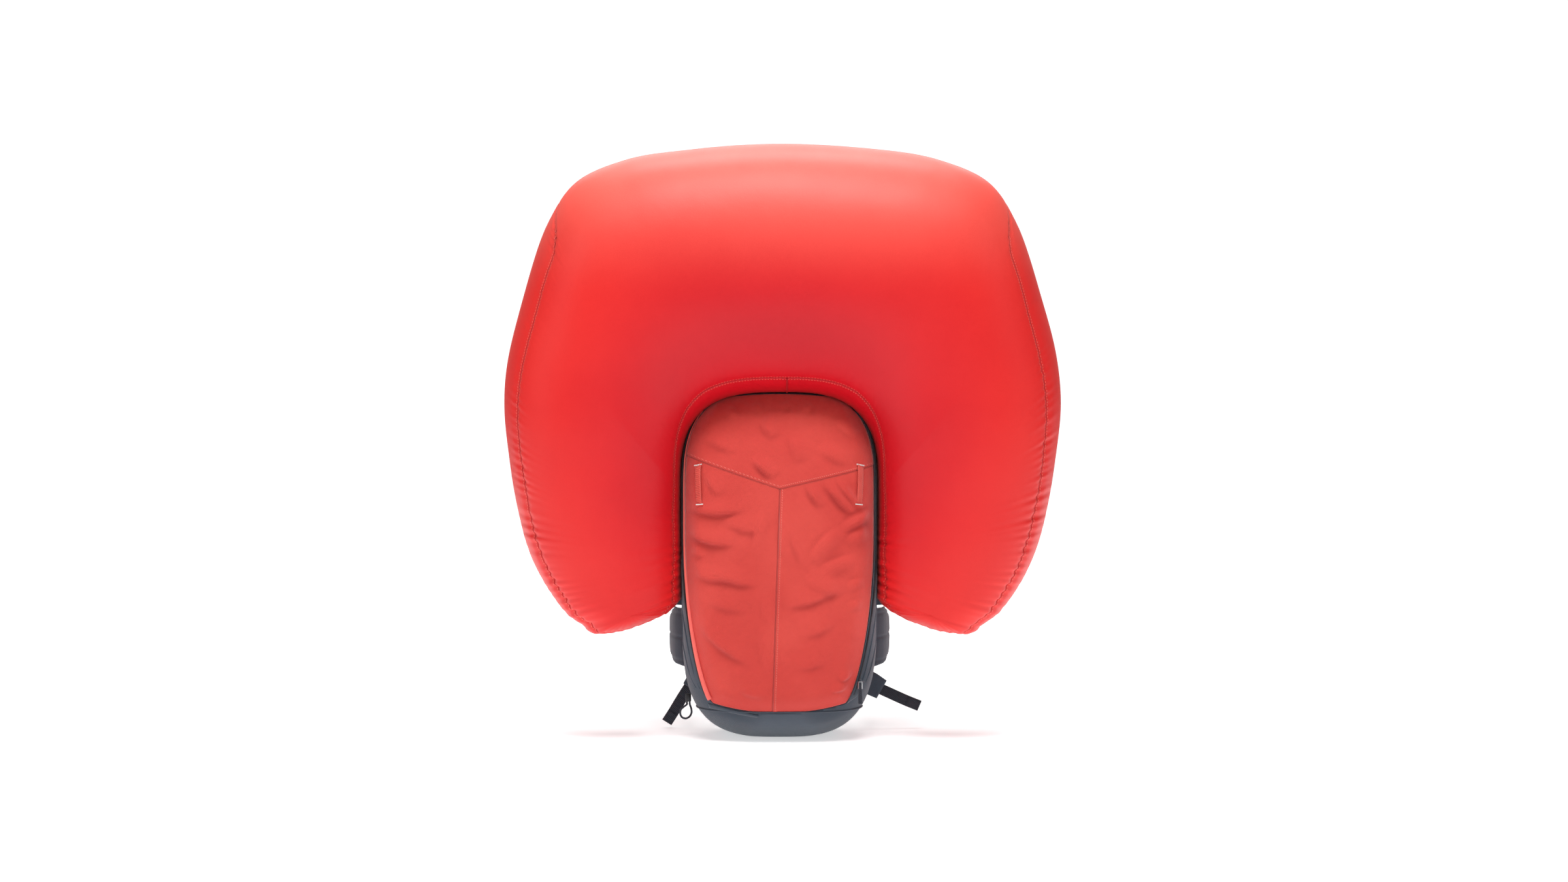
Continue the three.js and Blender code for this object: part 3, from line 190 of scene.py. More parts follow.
class Finish:
    """One material and the nodes that make it."""

    def __init__(self, name, roughness=0.6, metallic=0.0, **constants):
        self.material = bpy.data.materials.new(name)
        self.material.use_nodes = True
        self.tree = self.material.node_tree
        self.tree.nodes.clear()
        self.shader = self.tree.nodes.new("ShaderNodeBsdfPrincipled")
        out = self.tree.nodes.new("ShaderNodeOutputMaterial")
        self.tree.links.new(self.shader.outputs[0], out.inputs[0])
        self.shader.inputs["Roughness"].default_value = roughness
        self.shader.inputs["Metallic"].default_value = metallic
        for socket, value in constants.items():
            self.shader.inputs[socket.replace("_", " ")].default_value = value
        self.place = self.node("ShaderNodeTexCoord", out="Object")
        self.across_cloth = self.node("ShaderNodeTexCoord", out="UV")

    def node(self, kind, settings=None, sockets=None, out=0):
        made = self.tree.nodes.new(kind)
        for name, value in (settings or {}).items():
            if name == "stops":
                ramp = made.color_ramp.elements
                while len(ramp) < len(value):
                    ramp.new(0.5)
                for stop, (position, tone) in zip(ramp, value):
                    stop.position = position
                    stop.color = (*tone, 1)
            else:
                setattr(made, name, value)
        for name, value in (sockets or {}).items():
            if isinstance(value, Wire):
                self.tree.links.new(value.socket, made.inputs[name])
            else:
                made.inputs[name].default_value = value
        return Wire(self, made.outputs[out])

    def noise(self, scale, detail=2.0, stretch=(1, 1, 1)):
        spot = self.node("ShaderNodeMapping", None, {"Vector": self.place, "Scale": stretch})
        return self.node("ShaderNodeTexNoise", None, {"Vector": spot, "Scale": scale, "Detail": detail})

    def cells(self, scale):
        return self.node("ShaderNodeTexVoronoi", None, {"Vector": self.place, "Scale": scale})

    def between(self, value, low, high):
        """0 below low, 1 above high, and smooth between them."""
        return self.node(
            "ShaderNodeMapRange", {"interpolation_type": "SMOOTHSTEP"},
            {"Value": value, "From Min": low, "From Max": high})

    def tint(self, share, first, second):
        """A colour that goes from first to second as share goes from 0 to 1."""
        tones = [tone if isinstance(tone, Wire) else (*tone, 1) for tone in (first, second)]
        return self.node(
            "ShaderNodeMix", {"data_type": "RGBA"}, {0: share, 6: tones[0], 7: tones[1]}, out=2)

    def split(self, vector):
        """The three numbers of a vector."""
        wire = self.node("ShaderNodeSeparateXYZ", None, {0: vector})
        return [Wire(self, socket) for socket in wire.socket.node.outputs]

    def relief(self, height, depth):
        """Small shape in the surface: height from 0 to 1 stands for depth metres."""
        bump = self.node(
            "ShaderNodeBump", None, {"Height": height, "Distance": depth, "Strength": 1.0})
        self.feed("Normal", bump)

    def feed(self, socket, wire):
        self.tree.links.new(wire.socket, self.shader.inputs[socket])


# %% [markdown]
# ## Meshes from rows of points
#
# Sewn and blown-up cloth has no sharp primitive inside it. It is a skin stretched over rows
# of points, so one helper turns a grid of points into a mesh and gives it a UV map measured in
# metres. With such a map the weave and the stitches keep their true size all over the piece.

# %% Grid helper
def link(name, mesh):
    piece = bpy.data.objects.new(name, mesh)
    bpy.context.scene.collection.objects.link(piece)
    return piece


def only(piece):
    """Selects one piece and nothing else."""
    bpy.ops.object.select_all(action="DESELECT")
    piece.select_set(True)
    bpy.context.view_layer.objects.active = piece


def run_lengths(points, axis):
    """Length travelled along one axis of a grid of points."""
    steps = np.linalg.norm(np.diff(points, axis=axis), axis=2)
    pad = [(0, 0), (0, 0)]
    pad[axis] = (1, 0)
    return np.cumsum(np.pad(steps, pad), axis=axis)


def path_run(points):
    """Length travelled along a line of points."""
    return np.concatenate([[0], np.cumsum(np.linalg.norm(np.diff(points, axis=0), axis=1))])


def skin(name, points, closed=False, caps=False, uv=None):
    """A mesh through a grid of points, rows by columns, with a UV map in metres.

    Closed joins the last column to the first. Caps closes the first and the last row."""
    rows, columns = points.shape[:2]
    if uv is None:
        wrapped = np.concatenate([points, points[:, :1]], axis=1) if closed else points
        run = run_lengths(points, 0)[:, :1] + np.zeros((rows, wrapped.shape[1]))
        uv = np.stack([run, run_lengths(wrapped, 1)], axis=2)
    c = np.arange(columns if closed else columns - 1)
    r, c = (grid.ravel() for grid in np.meshgrid(np.arange(rows - 1), c, indexing="ij"))
    here, after = r * columns, (r + 1) * columns
    after_c = (c + 1) % columns
    faces = np.stack([here + c, here + after_c, after + after_c, after + c], axis=1)
    corner_r = np.stack([r, r, r + 1, r + 1], axis=1)
    corner_c = np.stack([c, c + 1, c + 1, c], axis=1)
    loops_uv = uv[np.minimum(corner_r, uv.shape[0] - 1), np.minimum(corner_c, uv.shape[1] - 1)]
    face_list = faces.tolist()
    uv_list = loops_uv.reshape(-1, 2).tolist()
    vertices = points.reshape(-1, 3).tolist()
    if caps:
        for row, order in ((0, 1), (rows - 1, -1)):
            ring = [row * columns + i for i in range(columns)][::-order]
            face_list.append(ring)
            uv_list += [[vertices[i][0], vertices[i][2]] for i in ring]
    mesh = bpy.data.meshes.new(name)
    mesh.from_pydata(vertices, [], face_list)
    layer = mesh.uv_layers.new(name="cloth")
    layer.data.foreach_set("uv", np.array(uv_list, np.float32).ravel())
    mesh.validate()
    return link(name, mesh)


def turn_outward(piece, merge=0.0):
    """Merges doubles, makes the faces point outwards and shades them smooth."""
    work = bmesh.new()
    work.from_mesh(piece.data)
    if merge:
        bmesh.ops.remove_doubles(work, verts=work.verts, dist=merge)
    bmesh.ops.recalc_face_normals(work, faces=work.faces)
    for face in work.faces:
        face.smooth = True
    work.to_mesh(piece.data)
    work.free()
    return piece


def thicken(piece, thickness, offset=-1):
    """Gives an open sheet its thickness, by default behind the sheet."""
    only(piece)
    thick = piece.modifiers.new("thickness", "SOLIDIFY")
    thick.thickness = thickness
    thick.offset = offset
    bpy.ops.object.modifier_apply(modifier=thick.name)


def box_middle(node):
    """Centre of a CAD node's box."""
    return [(low + high) / 2 for low, high in zip(*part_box(node))]


def dress(piece, finish, body, replaced=()):
    """Gives a finished piece its material, its body and the CAD nodes it stands for."""
    piece.data.materials.clear()
    piece.data.materials.append(finish.material)
    if body:
        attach(piece, body)
    if replaced:
        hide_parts(*replaced)
    return piece


def centripetal(stations, places):
    """Points on a smooth curve through stations, at places from 0 to 1 of its stretches."""
    stations = np.array(stations, float)
    ends = [2 * stations[0] - stations[1], 2 * stations[-1] - stations[-2]]
    knots = np.vstack([ends[0], stations, ends[1]])
    stretch = np.clip(np.asarray(places) * (len(stations) - 1), 0, len(stations) - 1 - 1e-9)
    first = stretch.astype(int)
    share = (stretch - first)[:, None]
    a, b, c, d = (knots[first + i] for i in range(4))
    da, db, dc = (np.sqrt(np.linalg.norm(q - p, axis=1))[:, None] for p, q in ((a, b), (b, c), (c, d)))
    leave = ((b - a) / da - (c - a) / (da + db) + (c - b) / db) * db
    reach = ((c - b) / db - (d - b) / (db + dc) + (d - c) / dc) * db
    return (b + share * leave + share ** 2 * (3 * (c - b) - 2 * leave - reach)
            + share ** 3 * (2 * (b - c) + leave + reach))


def tube(name, path, radius, sides=10):
    """A round tube along a path of points."""
    path = np.asarray(path, float)
    along = np.gradient(path, axis=0)
    along /= np.linalg.norm(along, axis=1)[:, None]
    side = np.cross(along, [0.13, 0.31, 0.94])
    side /= np.linalg.norm(side, axis=1)[:, None]
    up = np.cross(along, side)
    turn = np.linspace(0, 2 * math.pi, sides, endpoint=False)
    ring = (side[:, None] * np.cos(turn)[None, :, None] + up[:, None] * np.sin(turn)[None, :, None])
    thick = np.broadcast_to(np.asarray(radius, float), (len(path),))
    points = path[:, None] + ring * thick[:, None, None]
    return turn_outward(skin(name, points, closed=True, caps=True))


# %% [markdown]
# ## Cloth finishes
#
# Pack cloth is a matt plain weave with threads of two close tones; webbing has ribs across it.
# They share one recipe: a colour that drifts a little over the piece, threads as fine relief,
# and sheen for the fluff of fibres. An image of real cloth would do for one size and one piece;
# waves and noise keep their true size on every piece.

# %% Cloth recipes
WEAVE_PITCH = 0.0011
RIB_PITCH = 0.0018


def threads(finish, pitch, by_place=False):
    """A plain weave: two sets of ribs across each other, from 0 to 1."""
    if by_place:
        x, y, z = finish.split(finish.place)
        along, across = x + 0.6 * y, z + 0.6 * y
    else:
        along, across, _ = finish.split(finish.across_cloth)
    turn = math.pi / pitch
    return (along * turn).sine() * (across * turn).sine() * 0.5 + 0.5


def woven(name, deep, light, pitch=WEAVE_PITCH, by_place=False):
    """Matt pack cloth whose threads lie between two tones."""
    cloth = Finish(name, 0.82, Sheen_Weight=0.25, Sheen_Roughness=0.5, Specular_IOR_Level=0.3)
    weave = threads(cloth, pitch, by_place)
    fleck = cloth.noise(900, 1)
    patches = cloth.between(cloth.noise(9, 3), 0.35, 0.65)
    share = weave * 0.325 + fleck * 0.325 + patches * 0.35
    cloth.feed("Base Color", cloth.tint(share, deep, light))
    cloth.feed("Roughness", 0.7 + fleck * 0.2)
    cloth.relief(weave + fleck * 0.6 + cloth.noise(60, 3) * 1.5, 0.0002)
    return cloth


def ribbed(name, deep, light):
    """Webbing: ribs across the strip, worn paler along its raised threads."""
    cloth = Finish(name, 0.75, Sheen_Weight=0.3, Sheen_Roughness=0.4)
    x, y, z = cloth.split(cloth.place)
    rib = ((x + y * 0.7 + z) * (math.pi / RIB_PITCH)).sine() * 0.5 + 0.5
    fleck = cloth.noise(700, 2)
    worn = cloth.between(cloth.noise(30, 3), 0.4, 0.75)
    cloth.feed("Base Color", cloth.tint(rib * 0.45 + fleck * 0.3 + worn * 0.25, deep, light))
    cloth.feed("Roughness", 0.62 + fleck * 0.25)
    cloth.relief(rib + fleck * 0.4, 0.0005)
    return cloth


slate_cloth = woven("slate_pack_cloth", (0.030, 0.042, 0.058), (0.082, 0.110, 0.145))
strap_cloth = woven("slate_strap_cloth", (0.024, 0.032, 0.046), (0.066, 0.086, 0.115), by_place=True)
navy_webbing = ribbed("navy_webbing", (0.010, 0.013, 0.020), (0.030, 0.036, 0.055))
coral_webbing = ribbed("coral_webbing", (0.62, 0.06, 0.045), (0.84, 0.13, 0.095))
white_thread = woven("white_bartack_thread", (0.6, 0.56, 0.54), (0.88, 0.84, 0.80), pitch=0.0006)
pink_piping = woven("pink_piping", (0.86, 0.12, 0.10), (1.0, 0.20, 0.165), pitch=0.0009)
print("cloths", [m.name for m in bpy.data.materials if m.users])

# %% [markdown]
# ## Mesh fabric for the back
#
# The pads against the back are covered in a knitted spacer mesh, so that sweat can leave. It is
# a honeycomb of small holes. Three sets of waves at 60 degrees to each other add up to such a
# honeycomb, which gives the holes their relief and the painted shade inside them.

# %% Spacer mesh
HOLE_PITCH = 0.0032


def spacer_mesh():
    knit = Finish("black_spacer_mesh", 0.9, Sheen_Weight=0.3)
    along, depth, across = knit.split(knit.place)
    along = along + 0.5 * depth
    turn = math.pi / HOLE_PITCH
    waves = [
        ((along * a + across * b) * turn).cosine() for a, b in ((1.0, 0.0), (0.5, 0.866), (-0.5, 0.866))]
    hole = knit.between(waves[0] + waves[1] + waves[2], 0.2, 1.6)
    fleck = knit.noise(800, 1)
    # The holes are darkened with painted shade.
    knit.feed("Base Color", knit.tint(hole, (0.030, 0.034, 0.042), (0.006, 0.007, 0.009)))
    knit.feed("Roughness", 0.75 + fleck * 0.2)
    knit.relief(1 - hole + fleck * 0.3, 0.0007)
    return knit


back_mesh = spacer_mesh()

# %% [markdown]
# ## Moulded, turned and pressed finishes
#
# Buckles are dull moulded nylon with a fine grain, rubbed a little shinier and paler in places.
# Metal keeps fine lines from how it was made: noise drawn out along one axis gives them. The
# steel and the aluminium share that recipe and differ in tone.

# %% Hard finishes
MOULD_GRAIN = 1400
METAL_LINES = (1, 1, 60)


def moulded(name, deep, light, roughness=0.45, coat=0.0):
    plastic = Finish(name, roughness, Specular_IOR_Level=0.45)
    if coat:
        plastic.shader.inputs["Coat Weight"].default_value = coat
    pitting = plastic.cells(MOULD_GRAIN)
    rubbed = plastic.between(plastic.noise(45, 4), 0.45, 0.7)
    plastic.feed("Base Color", plastic.tint(rubbed * 0.7 + pitting * 0.3, deep, light))
    plastic.feed("Roughness", roughness + 0.08 - rubbed * 0.14)
    plastic.relief(pitting, 0.00012)
    return plastic


def brushed(name, deep, light):
    metal = Finish(name, 0.34, metallic=1.0)
    lay = metal.noise(120, 3, stretch=METAL_LINES)
    stain = metal.between(metal.noise(20, 3), 0.4, 0.75)
    metal.feed("Base Color", metal.tint(lay * 0.6 + stain * 0.4, deep, light))
    metal.feed("Roughness", 0.26 + lay * 0.2)
    metal.relief(lay, 0.00006)
    return metal


black_plastic = moulded("black_moulded_nylon", (0.010, 0.011, 0.014), (0.028, 0.030, 0.036))
grey_plastic = moulded("grey_moulded_housing", (0.075, 0.083, 0.095), (0.13, 0.14, 0.155), roughness=0.5)
red_plastic = moulded(
    "red_gloss_plastic", (0.50, 0.012, 0.008), (0.68, 0.03, 0.018), roughness=0.25, coat=0.4)
clear_lens = moulded("green_status_lens", (0.30, 0.62, 0.40), (0.62, 0.85, 0.68), roughness=0.12, coat=0.8)
sleeve = moulded("blue_cell_sleeve", (0.030, 0.040, 0.24), (0.07, 0.09, 0.36), roughness=0.3, coat=0.3)
steel = brushed("brushed_steel", (0.36, 0.37, 0.39), (0.55, 0.56, 0.58))
aluminium = brushed("turned_aluminium", (0.52, 0.54, 0.57), (0.74, 0.76, 0.78))


def board_finish():
    """Green board with paler copper runs and small dark components."""
    board = Finish("green_circuit_board", 0.45)
    runs = board.between(board.noise(260, 0, stretch=(1, 1, 0.25)), 0.5, 0.54)
    chips = board.between(board.cells(95), 0.16, 0.2)
    green = board.tint(runs, (0.008, 0.10, 0.035), (0.05, 0.22, 0.08))
    board.feed("Base Color", board.tint(chips, (0.012, 0.012, 0.014), green))
    board.feed("Roughness", 0.3 + chips * 0.25)
    board.relief(1 - chips, 0.0012)
    return board


circuit_green = board_finish()

# %% [markdown]
# ## Airbag nylon
#
# The bag is coated nylon with a soft shine. Its red carries painted shade, deepest round the arch
# over the pack, and a painted highlight, palest at the crown.
# Its seams are the detail that matters. The mesh carries the distance to the nearest seam in its UV
# map, so the finish paints shade into the seam's fold and draws its rows of stitches at true size.

# %% Airbag nylon
STITCH_PITCH = 0.0046
STITCH_ROW = 0.0034
ARCH_MIDDLE_Z = 0.33


def airbag_nylon():
    nylon = Finish(
        "red_airbag_nylon", 0.44, Sheen_Weight=0.1, Sheen_Roughness=0.35, Specular_IOR_Level=0.3,
        Sheen_Tint=(1.0, 0.5, 0.42, 1))
    run, away, _ = nylon.split(nylon.across_cloth)
    distance = away.size()
    # Painted shade darkens the fold along each seam, which is pressed in as relief as well.
    fold = 1 - nylon.between(distance, 0.0004, 0.0024)
    row = 1 - nylon.between((distance - STITCH_ROW).size(), 0.0004, 0.0011)
    beat = (run * (2 * math.pi / STITCH_PITCH)).sine()
    stitch = row * nylon.between(beat, -0.2, 0.3)
    fleck = nylon.noise(620, 2)
    drift = nylon.between(nylon.noise(5, 3), 0.3, 0.7)
    # Painted shade deepens the red round the arch over the pack, and a painted highlight pales it at the
    # crown.
    x, _, z = nylon.split(nylon.place)
    spread = (x * x + (z - ARCH_MIDDLE_Z) * (z - ARCH_MIDDLE_Z)) ** 0.5
    clear_of_arch_shade = nylon.between(spread, 0.15, 0.42)
    painted_crown_highlight = nylon.between(z, 0.56, 0.80)
    grain = fleck * 0.5 + drift * 0.5
    painted_arch_shade = nylon.tint(grain, (0.56, 0.0015, 0.010), (0.66, 0.003, 0.013))
    unshaded_red = nylon.tint(grain, (0.73, 0.014, 0.015), (0.83, 0.028, 0.022))
    crown = nylon.tint(grain, (0.90, 0.10, 0.075), (1.0, 0.16, 0.12))
    cloth = nylon.tint(painted_crown_highlight, nylon.tint(clear_of_arch_shade, painted_arch_shade, unshaded_red), crown)
    worn = nylon.tint(stitch * 0.65, cloth, (1.0, 0.22, 0.16))
    nylon.feed("Base Color", nylon.tint(fold * 0.62, worn, (0.34, 0.003, 0.008)))
    nylon.feed("Roughness", 0.38 + fleck * 0.14 + fold * 0.2)
    nylon.relief(fleck * 0.25 + stitch * 0.8 - fold * 1.6 + nylon.noise(45, 3) * 0.5, 0.0006)
    return nylon


red_nylon = airbag_nylon()

# %% [markdown]
# ## Light and floor
#
# Soft studio light comes from large lamps: a broad one above and in front, which shades the
# blown-up bag from bright crown to deep underside, weaker ones in front and at the sides, and two
# behind, so that the wearer's side can be judged as well.

# %% Lamps
def lamp(name, place, aim, size, power):
    data = bpy.data.lights.new(name, "AREA")
    data.shape = "RECTANGLE"
    data.size, data.size_y = size
    data.energy = power
    made = bpy.data.objects.new(name, data)
    bpy.context.scene.collection.objects.link(made)
    made.location = place
    made.rotation_euler = (Vector(aim) - Vector(place)).to_track_quat("-Z", "Y").to_euler()


lamp("key_lamp", (0.0, -1.35, 3.1), (0, 0, 0.4), (1.6, 0.8), 76)
lamp("front_fill", (0.0, -4.2, 1.6), (0, 0, 0.25), (2.6, 1.2), 10)
lamp("left_fill", (-3.0, -1.6, 1.3), (0, 0, 0.3), (1.2, 1.8), 14)
lamp("right_fill", (3.0, -1.6, 1.3), (0, 0, 0.3), (1.2, 1.8), 8)
lamp("back_lamp", (0.0, 3.0, 2.4), (0, 0, 0.4), (3.0, 1.6), 34)
lamp("crown_lamp", (0.0, 0.7, 2.5), (0, -0.1, 0.8), (1.6, 0.6), 30)

world = bpy.data.worlds.new("studio")
world.use_nodes = True
world.node_tree.nodes["Background"].inputs[0].default_value = (1, 1, 1, 1)
world.node_tree.nodes["Background"].inputs[1].default_value = 0.13
bpy.context.scene.world = world
bpy.context.scene.view_settings.view_transform = "Standard"

# %% [markdown]
# The floor is a round sheet of pale paper, which takes the shadow and fades to white outwards. A
# white dome round the whole set gives the plain background, yet lights nothing, so the shading on
# the pack stays clear. A curved backdrop would do too, but it would stand in the way of views from
# behind.

# %% Floor and dome
FLOOR_Z = cad_bounds[0][2] - 0.0005
FLOOR_RADIUS = 3.0
DOME_RADIUS = 16.0
bpy.ops.object.select_all(action="DESELECT")
bpy.ops.mesh.primitive_circle_add(
    vertices=128, radius=FLOOR_RADIUS, fill_type="NGON", location=(0, 0, FLOOR_Z))
floor = bpy.context.object
floor.name = "studio_floor"
paper = Finish("pale_paper", 0.9)
x, y, _ = paper.split(paper.place)
far = paper.between((x * x + y * y) ** 0.5, 0.5, 1.5)
paper.feed("Base Color", paper.tint(paper.noise(40, 3), (0.86, 0.86, 0.865), (0.90, 0.90, 0.90)))
paper.feed("Emission Color", paper.tint(far, (0.50, 0.50, 0.50), (0.95, 0.95, 0.95)))
paper.shader.inputs["Emission Strength"].default_value = 1.0
floor.data.materials.append(paper.material)
bpy.ops.object.select_all(action="DESELECT")
bpy.ops.mesh.primitive_uv_sphere_add(segments=48, ring_count=24, radius=DOME_RADIUS)
dome = bpy.context.object
dome.name = "studio_dome"
glow = Finish("dome_white", 1.0)
glow.feed("Emission Color", glow.tint(glow.noise(0.2, 1), (1.0, 1.0, 1.0), (0.99, 0.99, 1.0)))
glow.shader.inputs["Emission Strength"].default_value = 1.1
dome.data.materials.append(glow.material)
for reach in ("visible_diffuse", "visible_glossy", "visible_shadow"):
    setattr(dome, reach, False)

# %% [markdown]
# ## Tool loop
#
# A thin cord hangs from a cord lock at the left foot of the pack and goes back into it: it holds
# the shaft of an ice axe. It is the only cord that hangs free, so it comes first. Its route is
# the one that the CAD settled, written from the lower face of the lock.

# %% Tool loop
LOOP_DIAMETER = 0.0032
LOOP_ROUTE = [
    (2.2, 4, 0), (2.2, 4, -5), (4.5, 4, -12), (5, 3.5, -19), (2, 3, -25), (-4, 2, -28),
    (-10, 0, -26), (-13, -1.5, -20), (-12, -3, -13), (-7, -4, -8), (-2.2, -4, -4), (-2.2, -4, 0),
]
lock_x, lock_y, _ = box_middle("tool_loop_lock")
lock_foot = np.array([lock_x, lock_y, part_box("tool_loop_lock")[0].z - 0.4 * MM])
loop_path = centripetal(np.array(LOOP_ROUTE) * MM + lock_foot, np.linspace(0, 1, 90))
loop_cord = tube("loop_cord", loop_path, LOOP_DIAMETER / 2, sides=12)
dress(loop_cord, navy_webbing, "pack", ["tool_loop"])

# %% [markdown]
# ## The blown-up bag
#
# The bag is sewn from a U-shaped face, a U-shaped back and one strip of cloth, the gusset, that
# runs all the way round between them. Air pressure domes the panels and the seams pull the cloth
# into puckers. It could be blown up from flat panels by a cloth simulation, but its outline would
# then be hard to hold. So its skin is a set of closed loops that shrink from the widest outline to
# the middle of the face, every loop domed by the same curve, and a loop lies exactly on each seam.

# %% Outline of the bag
bag_low, bag_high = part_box("airbag_skin")
sack_low, sack_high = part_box("sack_shell")
PACK_BASE = sack_low.z
PACK_TALL = 0.556
PACK_WIDE = 0.314
SHOULDER = PACK_BASE + 0.4
BAG_GAP = -0.0005
BAG_MIDDLE_X, BAG_MIDDLE_Y, _ = box_middle("airbag_skin")
BAG_HALF = (bag_high.x - bag_low.x) / 2
BAG_TIP = PACK_BASE + 0.172
INNER_END = PACK_BASE + 0.236
DEPTH_TOP = 0.148
DEPTH_TIP = 0.1075
ROUNDNESS = 2.15
TIP_BULGE = 0.028
EDGE = [
    (0, 1), (0.33, 0.989), (0.56, 0.968), (0.742, 0.921), (0.838, 0.842), (0.925, 0.7),
    (1, 0.515), (0.983, 0.343), (0.908, 0.154), (0.79, 0.042), (0.716, 0.008),
]


def outer_edge(u):
    """The outline from the top's middle down; a mirrored first station keeps the top level."""
    edge = [(-EDGE[1][0], EDGE[1][1])] + EDGE
    stations = [(x * BAG_HALF, 0, BAG_TIP + z * (bag_high.z - BAG_TIP)) for x, z in edge]
    return centripetal(stations, (1 + np.asarray(u) * (len(EDGE) - 1)) / len(EDGE))


def inner_edge(u):
    """An arch over the pack for the first half of the way, then straight down beside it."""
    half = PACK_WIDE / 2 + BAG_GAP
    rise = PACK_BASE + PACK_TALL + BAG_GAP - SHOULDER
    angle = np.clip(u / 0.5, 0, 1) * math.pi / 2
    x = half * np.sin(angle) ** (2 / 3)
    z = SHOULDER + rise * np.cos(angle).clip(0) ** (2 / 3)
    down = np.clip((u - 0.5) / 0.5, 0, 1)
    z = np.where(u > 0.5, SHOULDER + down * (INNER_END - SHOULDER), z)
    return np.stack([x, np.zeros_like(x), z], axis=1)


# %% [markdown]
# The seams are lines of equal share between the middle of a panel and the widest outline. Down the
# arms the face seam lies a little inside the outline, while over the top the face runs on across
# the crown, which hides its seam behind. The puckers are deepest low on the arms, where the
# outline turns tightest, and die away over the smooth top.

# %% Seams and puckers
SIDE_STEPS = 330
TIP_STEPS = 44
FACE_ROWS = 24
GUSSET_ROWS = 16


def even_places(edge, count):
    """Places along an edge, from 0 to 1, that are evenly spaced in length."""
    fine = np.linspace(0, 1, 600)
    run = path_run(edge(fine))
    return np.interp(np.linspace(0, run[-1], count), run, fine)


def round_power(value, power):
    return np.sign(value) * np.abs(value) ** power


def half_loop():
    """The loop on the right, from the top's outer side round the arm's end to its inner side."""
    down_places = even_places(outer_edge, SIDE_STEPS)
    up_places = down_places[::-1]
    tip_turn = np.linspace(0, math.pi, TIP_STEPS + 2)[1:-1]
    u = np.concatenate([down_places, np.ones(TIP_STEPS), up_places])
    across = np.concatenate([
        np.ones(SIDE_STEPS), round_power(np.cos(tip_turn), 2 / ROUNDNESS), -np.ones(SIDE_STEPS)])
    down = np.concatenate([
        np.zeros(SIDE_STEPS), np.sin(tip_turn) ** (2 / ROUNDNESS), np.zeros(SIDE_STEPS)])
    return u, across, down


def seam_share(u, across):
    """Share of the way from the middle of a panel to the widest outline at which the seam lies."""
    arm = np.clip((u - 0.30) / 0.10, 0, 1)
    arm = arm * arm * (3 - 2 * arm)
    outer = 0.985 + (0.813 - 0.985) * arm
    inner = 0.872 + (0.925 - 0.872) * np.clip((u - 0.2) / 0.3, 0, 1)
    inner = np.where(u > 0.8, inner + (0.86 - 0.925) * (u - 0.8) / 0.2, inner)
    blend = (across + 1) / 2
    return inner + (outer - inner) * blend


def unrolled(u, across, down):
    outer, inner = outer_edge(u), inner_edge(u)
    centre, reach = (outer + inner) / 2, (outer - inner) / 2
    half = np.linalg.norm(reach, axis=1)[:, None]
    along = reach / half
    below = np.stack([along[:, 2], np.zeros(len(u)), -along[:, 0]], axis=1)
    depth = DEPTH_TOP + (DEPTH_TIP - DEPTH_TOP) * u ** 3
    offset = along * half * across[:, None] + below * TIP_BULGE * down[:, None]
    return centre, offset, depth


u, across, down = half_loop()
centre, offset, depth = unrolled(u, across, down)
seam = seam_share(u, across)
seam_angle = np.arccos(np.clip(seam, 0, 1) ** (ROUNDNESS / 2))
turn_back = np.clip((0.43 - u) / 0.17, 0, 1)
crown = np.clip(across, 0, 1) * turn_back * turn_back * (3 - 2 * turn_back)
front_angle = seam_angle * (1 - 2.2 * crown)
back_angle = seam_angle + 0.25 * crown

face_steps = np.linspace(0, 1, FACE_ROWS + 1)
gusset_steps = np.linspace(0, 1, GUSSET_ROWS + 1)[1:]
quarter = math.pi / 2
rows = [-quarter + (quarter - front_angle) * step for step in face_steps]
rows += [-front_angle + (front_angle + back_angle) * step for step in gusset_steps]
rows += [back_angle + (quarter - back_angle) * step for step in face_steps[1:]]
angle = np.array(rows)
ring_share = np.cos(angle).clip(0) ** (2 / ROUNDNESS)
dome = round_power(np.sin(angle), 2 / ROUNDNESS)
half_bag = centre[None] + offset[None] * ring_share[:, :, None]
half_bag[:, :, 1] = dome * depth[None]
mirrored = half_bag[:, ::-1] * np.array([-1, 1, 1])
bag = np.concatenate([half_bag, mirrored], axis=1)
toward_rim = (1 + across[None] * ring_share) / 2
toward_rim = np.concatenate([toward_rim, toward_rim[:, ::-1]], axis=1)
bag[:, :, 0] += BAG_MIDDLE_X * toward_rim
bag[:, :, 1] += BAG_MIDDLE_Y
bag = np.delete(bag, [half_bag.shape[1], bag.shape[1] - 1], axis=1)
print("bag grid", bag.shape)

# %% [markdown]
# The puckers are worked out along the seam. How tight the cloth is there says how deep they are;
# random lines say where each lies and how far it reaches into the panel. On each side of the
# seam they differ, as the two pieces of cloth are gathered on their own.

# %% Skin of the bag
OUTER_PULL = 1.9
INNER_PULL = 1.2
LEAST_PULL = 0.22
BEND_PULL = 1.7
BEND_PLACE = 0.40
GATHER_PITCH = 0.0135
PUCKER_REACH = 0.013
GROOVE_HALF = 0.006
NECK_HOLE = 0.0405
NECK_HOLE_TOP = 0.44


def wander(run, spacing, seed):
    """A smooth random line from -1 to 1 that changes over about one spacing."""
    count = int(run.max() / spacing) + 3
    values = np.random.default_rng(seed).uniform(-1, 1, count)
    place = run / spacing
    first = place.astype(int)
    share = place - first
    share = share * share * (3 - 2 * share)
    return values[first] * (1 - share) + values[first + 1] * share


